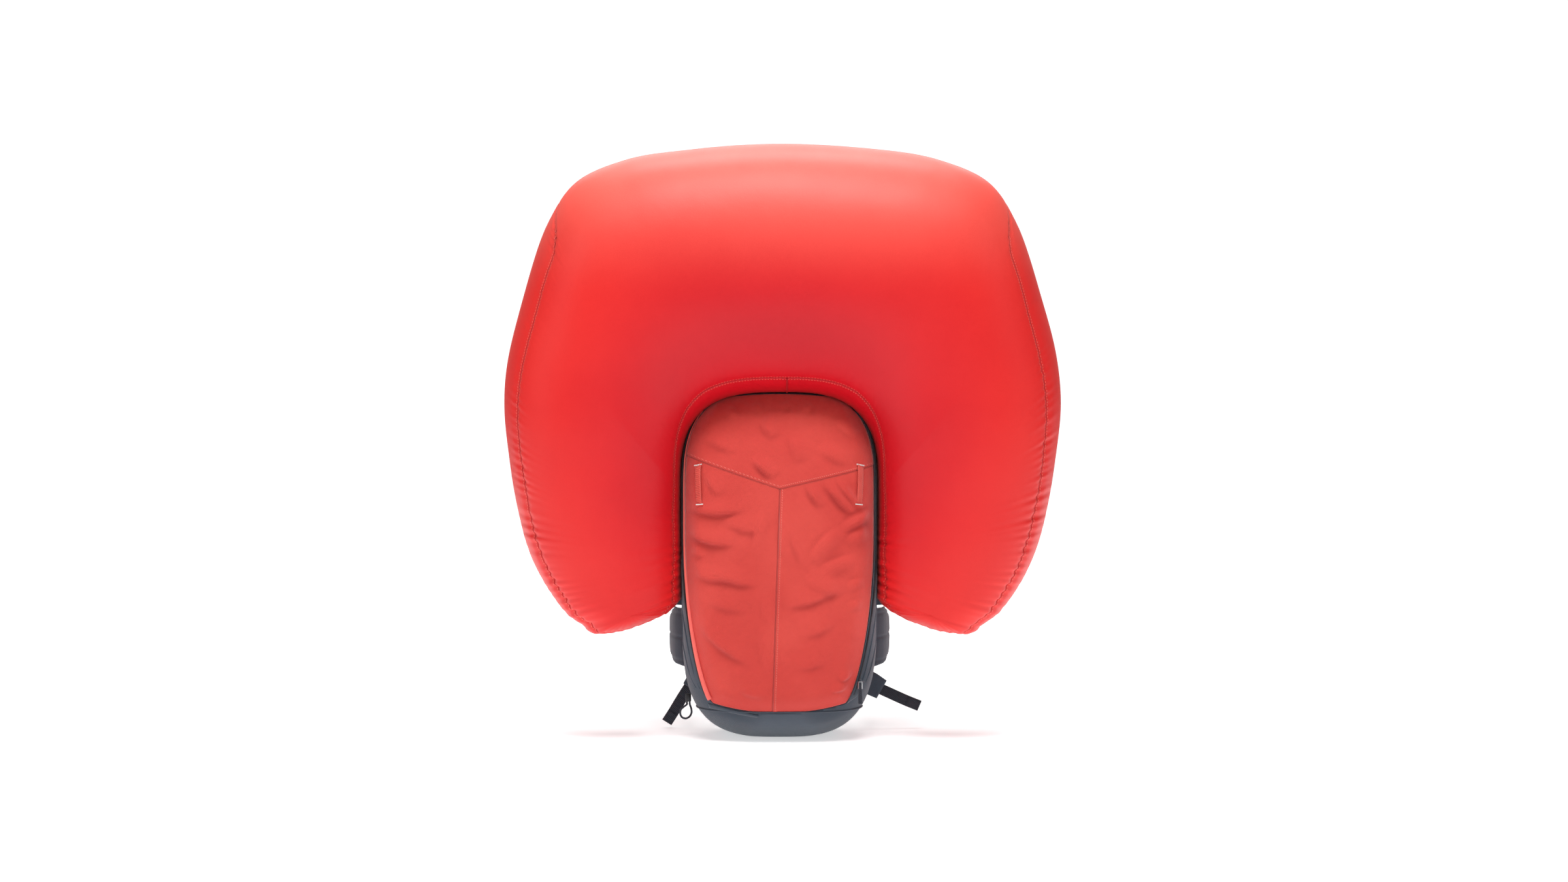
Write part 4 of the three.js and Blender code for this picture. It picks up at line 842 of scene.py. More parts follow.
def swell(points, waves, seed):
    """Slow undulation from -1 to 1, the sum of a few long waves in random directions."""
    chance = np.random.default_rng(seed)
    total = np.zeros(points.shape[:-1])
    for _ in range(waves):
        direction = chance.normal(size=3)
        direction /= np.linalg.norm(direction)
        length = chance.uniform(0.10, 0.28)
        total += np.sin(points @ direction * 2 * math.pi / length + chance.uniform(0, 6.28))
    return total / waves


def smooth_step(value, low, high):
    share = np.clip((value - low) / (high - low), 0, 1)
    return share * share * (3 - 2 * share)


def grid_normals(points, closed_columns=False):
    """Unit normals of a grid of points, by the cross product of its two directions."""
    if closed_columns:
        along = np.roll(points, -1, axis=1) - np.roll(points, 1, axis=1)
    else:
        along = np.gradient(points, axis=1)
    normal = np.cross(np.gradient(points, axis=0), along)
    length = np.linalg.norm(normal, axis=2)[:, :, None]
    return normal / np.maximum(length, 1e-12)


FRONT_SEAM = FACE_ROWS
BACK_SEAM = FACE_ROWS + GUSSET_ROWS
MIDDLE_ROW = (FRONT_SEAM + BACK_SEAM) // 2
bag_u = np.concatenate([u, u[::-1]])
bag_across = np.concatenate([across, across[::-1]])
on_left = np.concatenate([np.zeros(len(u)), np.ones(len(u))])
bag_u, bag_across, on_left = (
    np.delete(line, [len(u), 2 * len(u) - 1]) for line in (bag_u, bag_across, on_left))

outward = grid_normals(bag, closed_columns=True)
if (outward[FRONT_SEAM, 100] * (bag[FRONT_SEAM, 100] - bag[0, 100])).sum() < 0:
    outward = -outward
across_run = run_lengths(bag, 0)
seam_row = np.where(np.arange(bag.shape[0]) <= MIDDLE_ROW, FRONT_SEAM, BACK_SEAM)
from_seam = across_run - across_run[seam_row, np.arange(bag.shape[1])[:, None]].T
seam_run = run_lengths(bag, 1)[FRONT_SEAM]

pull = np.where(bag_across > -0.9, OUTER_PULL, INNER_PULL)
bend = np.exp(-((bag_u - BEND_PLACE) / 0.022) ** 2) * (bag_across > 0) * (0.4 + 0.6 * on_left)
tightness = smooth_step(bag_u, 0.42, 0.95) * pull + LEAST_PULL + BEND_PULL * bend
tightness = tightness * (0.75 + 0.35 * wander(seam_run, 0.09, 11))
pucker_length = 1 + 0.9 * smooth_step(bag_u, 0.6, 1.0)
pucker_length = PUCKER_REACH * (1.3 + 0.75 * wander(seam_run, 0.03, 12)) * pucker_length
gathers = []
for seed in (21, 22):
    beat = np.sin(seam_run * 2 * math.pi / GATHER_PITCH + 2.6 * wander(seam_run, 0.05, seed))
    gathers.append(0.5 * beat + 0.6 * wander(seam_run, 0.0068, seed + 10))
gather = np.where((np.arange(bag.shape[0]) <= MIDDLE_ROW)[:, None], *gathers)
reach_out = np.exp(-np.abs(from_seam) / pucker_length[None])
pulled_in = np.exp(-(from_seam / GROOVE_HALF) ** 2) * (0.8 + 0.9 * tightness[None])
shift = tightness[None] * gather * reach_out * 1.9 - 1.7 * pulled_in + 1.5 * swell(bag, 14, 5)
bag = bag + outward * shift[:, :, None] * MM

last_step = np.linalg.norm(bag[FRONT_SEAM, 0] - bag[FRONT_SEAM, -1])
loop_metres = np.concatenate([seam_run, [seam_run[-1] + last_step]])
bag_uv = np.stack([
    np.broadcast_to(loop_metres, (bag.shape[0], len(loop_metres))),
    np.concatenate([from_seam, from_seam[:, :1]], axis=1)], axis=2)
airbag = turn_outward(skin("airbag_cloth", bag, closed=True, uv=bag_uv), merge=0.00005)
FAN_X, FAN_Y, _ = box_middle("inlet_flange")
work = bmesh.new()
work.from_mesh(airbag.data)
middles = [(face, face.calc_center_median()) for face in work.faces]
covering = [face for face, middle in middles
            if middle.z < NECK_HOLE_TOP and math.hypot(middle.x - FAN_X, middle.y - FAN_Y) < NECK_HOLE]
bmesh.ops.delete(work, geom=covering, context="FACES")
work.to_mesh(airbag.data)
work.free()
print("neck hole", len(covering), "faces out")
dress(airbag, red_nylon, "pack", ["airbag_skin"])

inner_side = np.where((bag_across < -0.99) & (bag_u < 0.2))[0]
joint = inner_side[np.abs(bag[FRONT_SEAM, inner_side, 0] - 0.013).argmin()]
joint_line = bag[FRONT_SEAM:BACK_SEAM + 1, joint] + outward[FRONT_SEAM:BACK_SEAM + 1, joint] * 0.0004
joint_seam = tube("gusset_joint_seam", joint_line, 0.0015, sides=8)
# Every UV at 0 puts the whole joint seam in the seam fold's painted shade.
for corner in joint_seam.data.uv_layers[0].data:
    corner.uv = (0, 0)
dress(joint_seam, red_nylon, "pack")
print("airbag", len(airbag.data.polygons), "faces, gusset seam", round(loop_metres[-1], 2), "m")

# %% [markdown]
# ## Neck of the bag
#
# The fan blows into the bag through a neck of the same nylon, gathered over the inlet flange and
# held there by the clamp band. It is a short tube whose wall is pleated by the clamp and flares
# out to meet the bag.

# %% Neck
NECK_RADIUS = 0.037
PLEATS = 26
NECK_ROWS = [  # height, radius and depth of the pleats
    (0.3955, 0.0362, 0.0), (0.3956, 0.0371, 0.0001), (0.3985, 0.0371, 0.0002), (0.4065, 0.0371, 0.0002),
    (0.4085, 0.0376, 0.0008), (0.4115, 0.0390, 0.0010), (0.4145, 0.0412, 0.0006), (0.4160, 0.0455, 0.0),
]
neck_turn = np.linspace(0, 2 * math.pi, 208, endpoint=False)
neck_rows = []
for height, radius, pleat in NECK_ROWS:
    wall = radius + pleat * np.sin(PLEATS * neck_turn + 0.6 * np.sin(3 * neck_turn))
    neck_rows.append(np.stack([
        FAN_X + wall * np.cos(neck_turn), FAN_Y + wall * np.sin(neck_turn),
        np.full(len(neck_turn), height)], axis=1))
neck = turn_outward(skin("airbag_neck", np.array(neck_rows), closed=True))
dress(neck, red_nylon, "pack")

# %% [markdown]
# ## Sack of the pack
#
# The sack is sewn from coated pack cloth around a flat back. Its real panels are flat pieces whose
# seams give the shape. Modelled as a shell of closed rings, it keeps exactly the outline that the
# CAD states, and folds and seams are then pressed into its rows. The opening for the front panel
# is cut last by a Boolean, which leaves a clean rim.

# %% Outline of the sack
BACK_Y = sack_high.y
SACK_DEPTH = 0.174
HIP_HEIGHT = 0.2
FRONT_ROUND = 0.3
BASE_ROUND = 0.13
TOP_DEPTH = BACK_Y - FAN_Y + NECK_RADIUS + 0.012
TOP_END = (1 - (TOP_DEPTH / SACK_DEPTH) ** 3) ** (1 / 3)
PANEL_FOOT = 0.062
PANEL_TOP = PACK_TALL - 0.008
PANEL_EASE = 0.33
HEM_SAG = 0.014
FRONT_POWER = 2.7
BACK_POWER = 7.0


def fall(t, power=3.0):
    """From 1 at the middle down to 0 at 1, ever steeper, as a rounded edge falls away."""
    return np.clip(1 - np.abs(t) ** power, 0, 1) ** (1 / power)


def sack_half_width(height):
    top = (height - 0.4) / (PACK_TALL - 0.4)
    foot = np.clip((HIP_HEIGHT - height) / HIP_HEIGHT, 0, 1)
    return PACK_WIDE / 2 * fall(0.975 * np.where(height > 0.4, top, foot))


def sack_depth(height):
    top = TOP_END * (height - FRONT_ROUND) / (PACK_TALL - FRONT_ROUND)
    foot = 0.94 * np.clip((BASE_ROUND - height) / BASE_ROUND, 0, 1)
    return SACK_DEPTH * fall(np.where(height > FRONT_ROUND, top, foot))


def front_y(x, height):
    half = sack_depth(height) / 2
    return BACK_Y - half - half * fall(np.minimum(np.abs(x) / sack_half_width(height), 1), FRONT_POWER)


def panel_half_width(height):
    ease = np.sin(np.clip((height - PANEL_FOOT) / (PANEL_EASE - PANEL_FOOT), 0, 1) * math.pi / 2) ** 0.6
    taper = 0.104 + (0.152 - 0.104) * ease
    return np.minimum(taper, sack_half_width(height) - 0.005)


def sack_ring(height, turns, inset=0.0):
    half = sack_half_width(height) - inset
    depth = sack_depth(height) - 2 * inset
    power = np.where(np.sin(turns) > 0, 2 / BACK_POWER, 2 / FRONT_POWER)
    across = round_power(np.cos(turns), power)
    through = np.minimum(round_power(np.sin(turns), power) * np.where(np.sin(turns) > 0, 1.02, 1), 1)
    level = inset + height / PACK_TALL * (PACK_TALL - 2 * inset)
    middle = BACK_Y - inset - depth / 2
    return np.stack([
        half * across, middle + depth / 2 * through, np.full(len(turns), PACK_BASE + level)], axis=1)


def even_turns(count):
    """Angles round the sack that lie at even distances on its middle ring."""
    fine = np.linspace(0, 2 * math.pi, 2000)
    run = path_run(sack_ring(0.25, fine))
    return np.interp(np.linspace(0, run[-1], count, endpoint=False), run, fine)


def sack_heights(count):
    t = np.linspace(0, 1, count)
    return PACK_TALL * (0.5 - 0.5 * np.cos(math.pi * t)) * 0.35 + PACK_TALL * t * 0.65


# %% [markdown]
# Loose cloth shows folds that run from where it is held to where it hangs. Each fold here is one
# line on the piece with a width and a height. The same helper serves the sack and the panel.

# %% Folds
def press_folds(x, z, folds):
    """Height in metres of a list of folds: each runs from (x0, z0) to (x1, z1), in millimetres."""
    total = np.zeros_like(x)
    for x0, z0, x1, z1, width, height in folds:
        start, way = np.array([x0, z0]) * MM, np.array([x1 - x0, z1 - z0]) * MM
        length = np.linalg.norm(way)
        way /= length
        along = ((x - start[0]) * way[0] + (z - start[1]) * way[1]) / length
        bow = 0.06 * length * np.sin(np.clip(along, 0, 1) * math.pi)
        away = (x - start[0]) * way[1] - (z - start[1]) * way[0] - bow
        fade = np.clip(np.sin(np.clip(along, 0, 1) * math.pi), 0, 1) ** 1.4
        flank = np.where(away > 0, width * 0.8, width * 2.0) * MM
        total += height * MM * fade * np.exp(-(away / flank) ** 2)
    return total


SACK_SIDES = 150
SACK_ROWS = 110
turns = even_turns(SACK_SIDES)
heights = sack_heights(SACK_ROWS)
sack = np.array([sack_ring(height, turns) for height in heights])
sack_out = grid_normals(sack, closed_columns=True)
if sack_out[SACK_ROWS // 2, 0, 0] < 0:
    sack_out = -sack_out
side_folds = [
    (60, -30, 150, 30, 9, 2.2), (70, 10, 160, 70, 10, 2.0), (90, 60, 165, 130, 12, 1.8),
    (-60, -20, -150, 20, 10, 2.2), (-80, 25, -160, 75, 9, 2.4), (-90, 90, -170, 150, 12, 1.6),
    (40, -118, 120, -96, 7, 1.6), (-30, -124, -120, -100, 8, 1.8), (-100, -70, -150, -30, 7, 2.0),
    (110, -80, 150, -40, 8, 2.0),
]
loose = smooth_step(-sack[:, :, 1], 0.05, 0.09)
pressed = press_folds(sack[:, :, 0], sack[:, :, 2], side_folds) + 0.0011 * swell(sack, 12, 31)
sack = sack + sack_out * (pressed * loose)[:, :, None]
sack_shell = turn_outward(skin("sack_cloth", sack, closed=True, caps=True))
inner_rings = [sack_ring(height, turns[::3], 0.0028) for height in heights[::3].tolist() + [PACK_TALL]]
sack_room = turn_outward(skin("sack_room", np.array(inner_rings), closed=True, caps=True))


def panel_outline(inset, steps=40):
    """Outline of the front panel seen from the front, as x and height, from foot to foot."""
    share = 0.5 - 0.5 * np.cos(np.linspace(0, 1, steps) * math.pi)
    height = PANEL_FOOT + (PANEL_TOP - PANEL_FOOT) * share
    level = PANEL_FOOT + inset + (PANEL_TOP - PANEL_FOOT - 2 * inset) * share
    right = np.stack([panel_half_width(height) - inset, level], axis=1)
    foot = np.linspace(-1, 1, 21)[1:-1]
    hem = np.stack([foot * right[0, 0], PANEL_FOOT + inset - HEM_SAG * (1 - foot ** 2)], axis=1)
    return np.concatenate([hem, right, right[::-1] * [-1, 1]])


opening = panel_outline(0.0)
ends = (BACK_Y - SACK_DEPTH * 0.42, -0.3)
prism_points = np.array([[(x, y, PACK_BASE + z) for x, z in opening] for y in ends])
opening_cutter = turn_outward(skin("opening_cutter", prism_points, closed=True, caps=True))
bpy.ops.object.select_all(action="DESELECT")
bpy.ops.mesh.primitive_cylinder_add(
    vertices=64, radius=NECK_RADIUS + 0.005, depth=0.08, location=(FAN_X, FAN_Y, 0.41))
neck_cutter = bpy.context.object


def carve(piece, *cutters):
    """Cuts cutters out of a piece with Boolean modifiers and removes them."""
    for cutter in cutters:
        only(piece)
        cut = piece.modifiers.new("cut", "BOOLEAN")
        cut.operation = "DIFFERENCE"
        cut.solver = "EXACT"
        cut.object = cutter
        bpy.ops.object.modifier_apply(modifier=cut.name)
        bpy.data.objects.remove(cutter)
    return piece


carve(sack_shell, sack_room, opening_cutter, neck_cutter)
dress(sack_shell, slate_cloth, "pack", ["sack_shell"])
print("sack", len(sack_shell.data.polygons), "faces")

# %% [markdown]
# ## Front panel
#
# The panel zips off the front of the sack. A V-shaped yoke seam crosses it and a centre seam runs
# from the tip of the V to the hem; the zip pulls folds across it. It is a grid of rows between
# hem and top, laid on the front of the sack, with the folds pressed in and a folded edge.

# %% Panel cloth with its seams
YOKE_TIP = (0.001, 0.2616)
YOKE_LEFT = 0.333
YOKE_RIGHT = 0.226
CENTRE_LEAN = 0.0326
PANEL_STITCH = 0.004
ROW_FROM_SEAM = 0.0042


def panel_cloth():
    cloth = Finish(
        "coral_panel_cloth", 0.8, Sheen_Weight=0.35, Sheen_Roughness=0.45, Specular_IOR_Level=0.3)
    x, _, z = cloth.split(cloth.place)
    from_tip = x - YOKE_TIP[0]
    line = from_tip.maths("MAXIMUM", from_tip * -YOKE_LEFT, from_tip * YOKE_RIGHT)
    above = z - YOKE_TIP[1] - line
    beside = x - YOKE_TIP[0] - (z - YOKE_TIP[1]) * CENTRE_LEAN
    below = cloth.between(above, 0.0005, -0.0005)

    def near(value, middle, half):
        return 1 - cloth.between((value - middle).size(), half * 0.5, half)

    beat = cloth.between(((x + z) * (2 * math.pi / PANEL_STITCH)).sine(), -0.3, 0.2)
    # Painted shade darkens the fold of the yoke seam and of the centre seam below it.
    fold = near(above, 0.0, 0.0016) + near(beside, 0.0, 0.0014) * below
    stitches = (near(above, ROW_FROM_SEAM, 0.0009) + near(beside, ROW_FROM_SEAM, 0.0009) * below) * beat
    fleck = cloth.noise(900, 1)
    drift = cloth.between(cloth.noise(8, 3), 0.35, 0.65)
    base = cloth.tint(fleck * 0.45 + drift * 0.55, (0.60, 0.046, 0.036), (0.72, 0.074, 0.056))
    # Painted shade deepens the colour in the creases and under the folds.
    crease = cloth.node("ShaderNodeAttribute", {"attribute_name": "crease"}, out="Fac")
    base = cloth.tint(cloth.between(crease, 0.28, 1.0) * 0.7, base, (0.36, 0.016, 0.014))
    sewn = cloth.tint(stitches * 0.55, base, (0.95, 0.26, 0.20))
    cloth.feed("Base Color", cloth.tint(fold * 0.45, sewn, (0.26, 0.015, 0.012)))
    cloth.feed("Roughness", 0.70 + fleck * 0.18)
    weave = threads(cloth, WEAVE_PITCH) * 0.6
    cloth.relief(weave + fleck * 0.5 + stitches * 0.8 - fold * 2.2 + cloth.noise(70, 3) * 1.6, 0.0005)
    return cloth


panel_finish = panel_cloth()

# %% [markdown]
# Each fold in the list is a line from x, z to x, z in millimetres, with a width and a height. They
# fan out from where the zip, the loops and the yoke hold the cloth. Painted shade in the hollows and
# on the undersides of the folds is stored as an attribute, with which the finish deepens the colour.

# %% Panel
FOLD_STRENGTH = 2.5
PANEL_PUFF = 0.0055
PANEL_SWELL = 0.0016
SEAM_STEP = 0.0009
FELL_STEP = 0.0007
PANEL_THICKNESS = 0.0022
PANEL_COLUMNS = 121
PANEL_ROWS = 190
PANEL_FOLDS = [
    (-42, 312, -5, 278, 6, 3.2), (-25, 372, -8, 338, 8, 2.6), (24, 352, 34, 300, 9, 2.4),
    (60, 330, 118, 300, 10, 2.0), (-120, 344, -60, 322, 9, 1.8), (46, 272, 66, 232, 5, 2.6),
    (70, 277, 120, 218, 5, 3.2), (90, 280, 128, 226, 4, 2.6), (150, 222, 94, 196, 6, 4.2),
    (98, 200, 50, 146, 8, 3.4), (140, 196, 104, 176, 7, 2.8), (-148, 229, -46, 233, 6, 3.2),
    (-148, 192, -62, 176, 7, 3.0), (-90, 214, -20, 196, 8, 1.8), (-108, 132, -28, 112, 8, 3.0),
    (-136, 128, -70, 120, 7, 2.4), (16, 252, 14, 138, 9, 2.6), (40, 120, 104, 96, 9, 2.4),
    (2, 78, 94, 104, 8, 2.2), (-128, 50, -36, -20, 8, 2.4), (-120, 88, -40, 74, 10, 2.0),
    (92, -44, 116, -32, 4, 2.2), (78, -58, 110, -54, 4, 1.8), (30, 30, 92, 56, 10, 1.8),
    (-70, -52, -16, -66, 8, 1.6), (20, -20, 84, -4, 9, 1.6), (-24, 60, -12, -40, 10, 1.4),
    (124, 150, 60, 128, 7, 2.2), (-112, 286, -92, 250, 6, 1.8), (88, 368, 122, 338, 7, 1.8),
    (-30, 376, -40, 398, 5, 1.6), (14, 380, 10, 400, 5, 1.4), (44, 374, 50, 396, 5, 1.4),
    (-66, 366, -80, 388, 5, 1.4), (134, 112, 104, 106, 4, 1.4), (134, 78, 102, 72, 4, 1.3),
    (-140, 160, -112, 156, 4, 1.3),
    (-18, 244, -36, 150, 6, 1.5), (22, 216, 44, 132, 7, 1.8), (-22, 96, -14, 36, 6, 1.1),
]
step = np.linspace(0, 1, PANEL_ROWS)
share = (0.5 - 0.5 * np.cos(step * math.pi)) * 0.5 + step * 0.5
share = np.where(share > 0.93, 0.93 + 0.07 * np.sin((share - 0.93) / 0.07 * quarter), share)
column = np.linspace(-1, 1, PANEL_COLUMNS)
panel_height = PANEL_FOOT + 0.001 + (PANEL_TOP - PANEL_FOOT - 0.002) * share
half_width = panel_half_width(np.minimum(panel_height, PANEL_TOP)) - 0.001
x = column[None] * half_width[:, None]
bow = 1 - column[None] ** 2
sag = HEM_SAG * bow * np.clip(1 - (panel_height[:, None] - PANEL_FOOT) / 0.09, 0, 1)
crest = 0.006 * bow * smooth_step(share, 0.86, 1.0)[:, None]
height = panel_height[:, None] - sag + crest
z = PACK_BASE + height
edge_near = np.minimum.reduce([
    half_width[:, None] - np.abs(x), height - PANEL_FOOT + HEM_SAG * bow, PANEL_TOP - height])
held = smooth_step(edge_near, 0.0, 0.03)
panel = np.stack([x, front_y(x, height), z], axis=2)
panel_out = grid_normals(panel)
if panel_out[PANEL_ROWS // 2, PANEL_COLUMNS // 2, 1] > 0:
    panel_out = -panel_out
yoke_line = YOKE_TIP[1] + np.maximum(-YOKE_LEFT * (x - YOKE_TIP[0]), YOKE_RIGHT * (x - YOKE_TIP[0]))
yoke = smooth_step(z - yoke_line, -0.0012, 0.0012) * SEAM_STEP
centre_line = x - YOKE_TIP[0] - (z - YOKE_TIP[1]) * CENTRE_LEAN
felled = smooth_step(centre_line, -0.001, 0.001) - smooth_step(centre_line, 0.006, 0.009)
felled = felled * FELL_STEP * (z < yoke_line)
creases = press_folds(x, z, PANEL_FOLDS) * FOLD_STRENGTH * (1 + 0.35 * swell(panel, 10, 43))
waves = PANEL_SWELL * swell(panel, 16, 41)
puff = PANEL_PUFF * held + creases * (0.25 + 0.75 * held) + waves * held + yoke + felled
panel = panel + panel_out * puff[:, :, None]
panel_uv = np.stack([x, z], axis=2)
front_panel = turn_outward(skin("front_panel_cloth", panel, uv=panel_uv))
# The painted shade attribute: more in hollows and on the undersides of folds.
rise = creases + PANEL_SWELL * swell(panel, 16, 41)
hollow = np.gradient(np.gradient(rise, axis=0), axis=0) + np.gradient(np.gradient(rise, axis=1), axis=1)
for _ in range(2):
    hollow[1:-1, 1:-1] = (hollow[:-2, 1:-1] + hollow[2:, 1:-1] + hollow[1:-1, :-2] + hollow[1:-1, 2:]) / 4
under = -np.gradient(rise, axis=0)
shade = front_panel.data.attributes.new("crease", "FLOAT", "POINT")
painted_shade_amount = np.clip(hollow / 0.0006, -0.3, 1) * 0.5 + np.clip(-under / 0.0016, -0.4, 1) * 0.5
shade.data.foreach_set("value", (0.3 + 0.7 * painted_shade_amount).clip(0, 1).astype(np.float32).ravel())
thicken(front_panel, PANEL_THICKNESS)
dress(front_panel, panel_finish, "panel", ["front_panel"])
print("panel", len(front_panel.data.polygons), "faces")

# %% [markdown]
# ## Webbing and straps
#
# Webbing is a flat woven strip. Each one is a thin section swept along a smooth line, with soft
# edges and its weave measured along the strip. The line is where the CAD put the strip, so its
# ends still meet the buckles and the seams.

# %% Strips
FLAT_EDGE = [
    (1, 0), (0.985, 0.62), (0.93, 0.97), (0.45, 1), (0, 1), (-0.45, 1), (-0.93, 0.97), (-0.985, 0.62)]
FLAT_SECTION = FLAT_EDGE + [(-s, -t) for s, t in FLAT_EDGE]


def strip(name, stations, width_way, thickness, count=48, section=FLAT_SECTION):
    """A section swept along stations of x, y, z and width, all in millimetres."""
    stations = np.array(stations, float)
    places = np.linspace(0, 1, count)
    centre = centripetal(stations[:, :3], places)
    at = places * (len(stations) - 1)
    width = np.interp(at, np.arange(len(stations)), stations[:, 3])
    along = np.gradient(centre, axis=0)
    along /= np.linalg.norm(along, axis=1)[:, None]
    across = np.array(width_way, float) - along * (along @ np.array(width_way, float))[:, None]
    across /= np.linalg.norm(across, axis=1)[:, None]
    up = np.cross(along, across)
    thick = np.broadcast_to(np.asarray(thickness, float), (count,))
    s, t = np.array(section).T
    points = (centre[:, None] + across[:, None] * (s[None] * width[:, None] / 2)[:, :, None]
              + up[:, None] * (t[None] * thick[:, None] / 2)[:, :, None]) * MM
    return turn_outward(skin(name, points, closed=True, caps=True))


BASE = -146.0  # level of the pack's base, in millimetres


def strap_z(share):
    """Level of a place on a shoulder strap: 0 at its foot, 1 where it leaves the sack."""
    return 205 + 295 * share + BASE


WEB = 1.8
WEBBINGS = [  # name, body, CAD node, width, way of the width, and its line on the right side
    ("lifter_webbing", "pack", "load_lifter", 19, (1, 0, 0),
     [(84, -23.2, strap_z(1.07)), (85, 10, strap_z(1.19)), (86, 48, strap_z(1.23)), (88, 84, strap_z(1.19))]),
    ("lower_strap", "pack", "lower_webbing", 20, (1, 0, 0),
     [(125.9, -10, -70), (123.9, 14, -54), (114, 56, -8), (107, 80, 18)]),
    ("belt_webbing", "fin", "hip_webbing", 37.6, (0, 0, 1),
     [(161, 138.5, 0), (152, 154, -2), (138, 168, -6), (120, 177, -10)]),
]
for name, side in SIDES.items():
    for word, body, node, width, width_way, line in WEBBINGS:
        piece = strip(f"{word}_{name}", [(side * x, y, z, width) for x, y, z in line], width_way, WEB)
        dress(piece, navy_webbing, f"fin_{name}" if body == "fin" else body, [f"{node}_{name}"])
    chest_low, chest_high = (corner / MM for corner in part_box(f"chest_webbing_{name}"))
    middle = (chest_low + chest_high) / 2
    chest = [(x, middle.y, middle.z, 20) for x in np.linspace(chest_low.x, chest_high.x, 4)]
    piece = strip(f"sternum_webbing_{name}", chest, (0, 0, 1), WEB, count=30)
    dress(piece, navy_webbing, f"chest_{name}", [f"chest_webbing_{name}"])
    if name == "right":
        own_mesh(piece)

haul = [(-27, -17, 352, 18), (-27, -17, 392, 18), (-17, -15, 418, 18), (0, -14, 428, 18),
        (17, -15, 418, 18), (27, -17, 392, 18), (27, -17, 352, 18)]
piece = strip("haul_handle", haul, (0, 1, 0), 2.8, count=80)
dress(piece, navy_webbing, "pack", ["haul_loop"])

# %% [markdown]
# Each lower corner of the sack has a small padded tab, and a webbing tail hangs from it. The end
# of a tail is folded over twice and sewn, so that it can't slip out of a buckle: it is thicker
# for its last 20 mm, with a small step where the fold starts.

# %% Corner tabs and tails
FOOT_X = 146.9
FOOT_Z = 84
TAB_PLACES = {
    "left": [(-10, -21, 0, 24), (-4, -21, -9, 24), (2, -21, -18, 22)],
    "right": [(-8, -21, -6, 38), (5, -21, -13, 38), (21, -21, -22, 34)],
}
TAIL_PLACES = {
    "left": [(-1.0, -21, -13.5, 18), (14, -22, -37, 18), (26, -23, -57, 18), (38, -22, -76, 18)],
    "right": [(16, -21, -19.5, 18), (39, -21.5, -30, 18), (59, -22, -39, 18), (83, -21, -49, 18)],
}
WIDTH_WAYS = {"left": (1, 0, -0.7), "right": (0.5, 0, 1)}
PAD_EDGE = [
    (1, 0), (0.97, 0.55), (0.86, 0.9), (0.5, 1.15), (0, 1.25), (-0.5, 1.15), (-0.86, 0.9), (-0.97, 0.55)]
PAD_SECTION = PAD_EDGE + [(-s, -t) for s, t in PAD_EDGE]
for name, side in SIDES.items():
    tab, tail = ([(side * (FOOT_X + out), y, FOOT_Z + z + BASE, width) for out, y, z, width in table[name]]
                 for table in (TAB_PLACES, TAIL_PLACES))
    ends = np.minimum(1, np.sin(np.linspace(0.12, math.pi - 0.12, 40)) * 3)
    piece = strip(f"tab_cloth_{name}", tab, WIDTH_WAYS[name], 4.4 * ends, 40, PAD_SECTION)
    dress(piece, slate_cloth, "pack", [f"corner_tab_{name}"])
    share = np.linspace(0, 1, 90)
    folded = WEB + 2.6 * smooth_step(share, 0.70, 0.725) + 0.25 * np.sin(share * 60)
    piece = strip(f"tail_webbing_{name}", tail, WIDTH_WAYS[name], folded, 90)
    dress(piece, navy_webbing, "pack", [f"strap_tail_{name}"])

# %% [markdown]
# ## Padded straps, pads and belt fins
#
# Foam pressed into a sewn cover swells between its seams. A short cloth simulation does the same:
# a plain closed shape gets an even mesh and is blown up a few millimetres by pressure, with no
# gravity. Each point may move only so far, so the piece stays in its place. One piece of each
# pair is simulated and the other is its mirror image, as they are cut on one pattern.

# %% Stuffing
SIM_FRAMES = 20
VOXEL = 0.0048
PRESSURE = 4.0
scene = bpy.context.scene


def coordinates(mesh):
    flat = np.empty(len(mesh.vertices) * 3, np.float32)
    mesh.vertices.foreach_get("co", flat)
    return flat.reshape(-1, 3).astype(float)


def place_points(piece, points):
    piece.data.vertices.foreach_set("co", points.astype(np.float32).ravel())
    piece.data.update()


def stuff(piece, cap):
    """Swells a closed cover as foam does, by at most cap metres."""
    only(piece)
    even = piece.modifiers.new("even_mesh", "REMESH")
    even.mode = "VOXEL"
    even.voxel_size = VOXEL
    bpy.ops.object.modifier_apply(modifier=even.name)
    rest = coordinates(piece.data)
    cloth = piece.modifiers.new("cover", "CLOTH")
    cloth.settings.quality = 5
    cloth.settings.use_pressure = True
    cloth.settings.uniform_pressure_force = PRESSURE
    cloth.settings.effector_weights.gravity = 0
    cloth.point_cache.frame_end = SIM_FRAMES
    for moment in range(1, SIM_FRAMES + 1):
        scene.frame_set(moment)
    swollen = coordinates(piece.evaluated_get(bpy.context.evaluated_depsgraph_get()).data)
    move = swollen - rest
    length = np.linalg.norm(move, axis=1)[:, None]
    move *= np.minimum(1, cap / np.maximum(length, 1e-9))
    only(piece)
    bpy.ops.object.modifier_apply(modifier=cloth.name)
    place_points(piece, rest + move)
    scene.frame_set(1)
    finer = piece.modifiers.new("finer", "SUBSURF")
    finer.levels = finer.render_levels = 1
    bpy.ops.object.modifier_apply(modifier=finer.name)
    return turn_outward(piece)


def mirror_copy(piece, name):
    """The same piece for the other side, with its faces turned back outwards."""
    mesh = piece.data.copy()
    mesh.transform(Matrix.Diagonal((-1, 1, 1, 1)))
    mesh.flip_normals()
    return link(name, mesh)


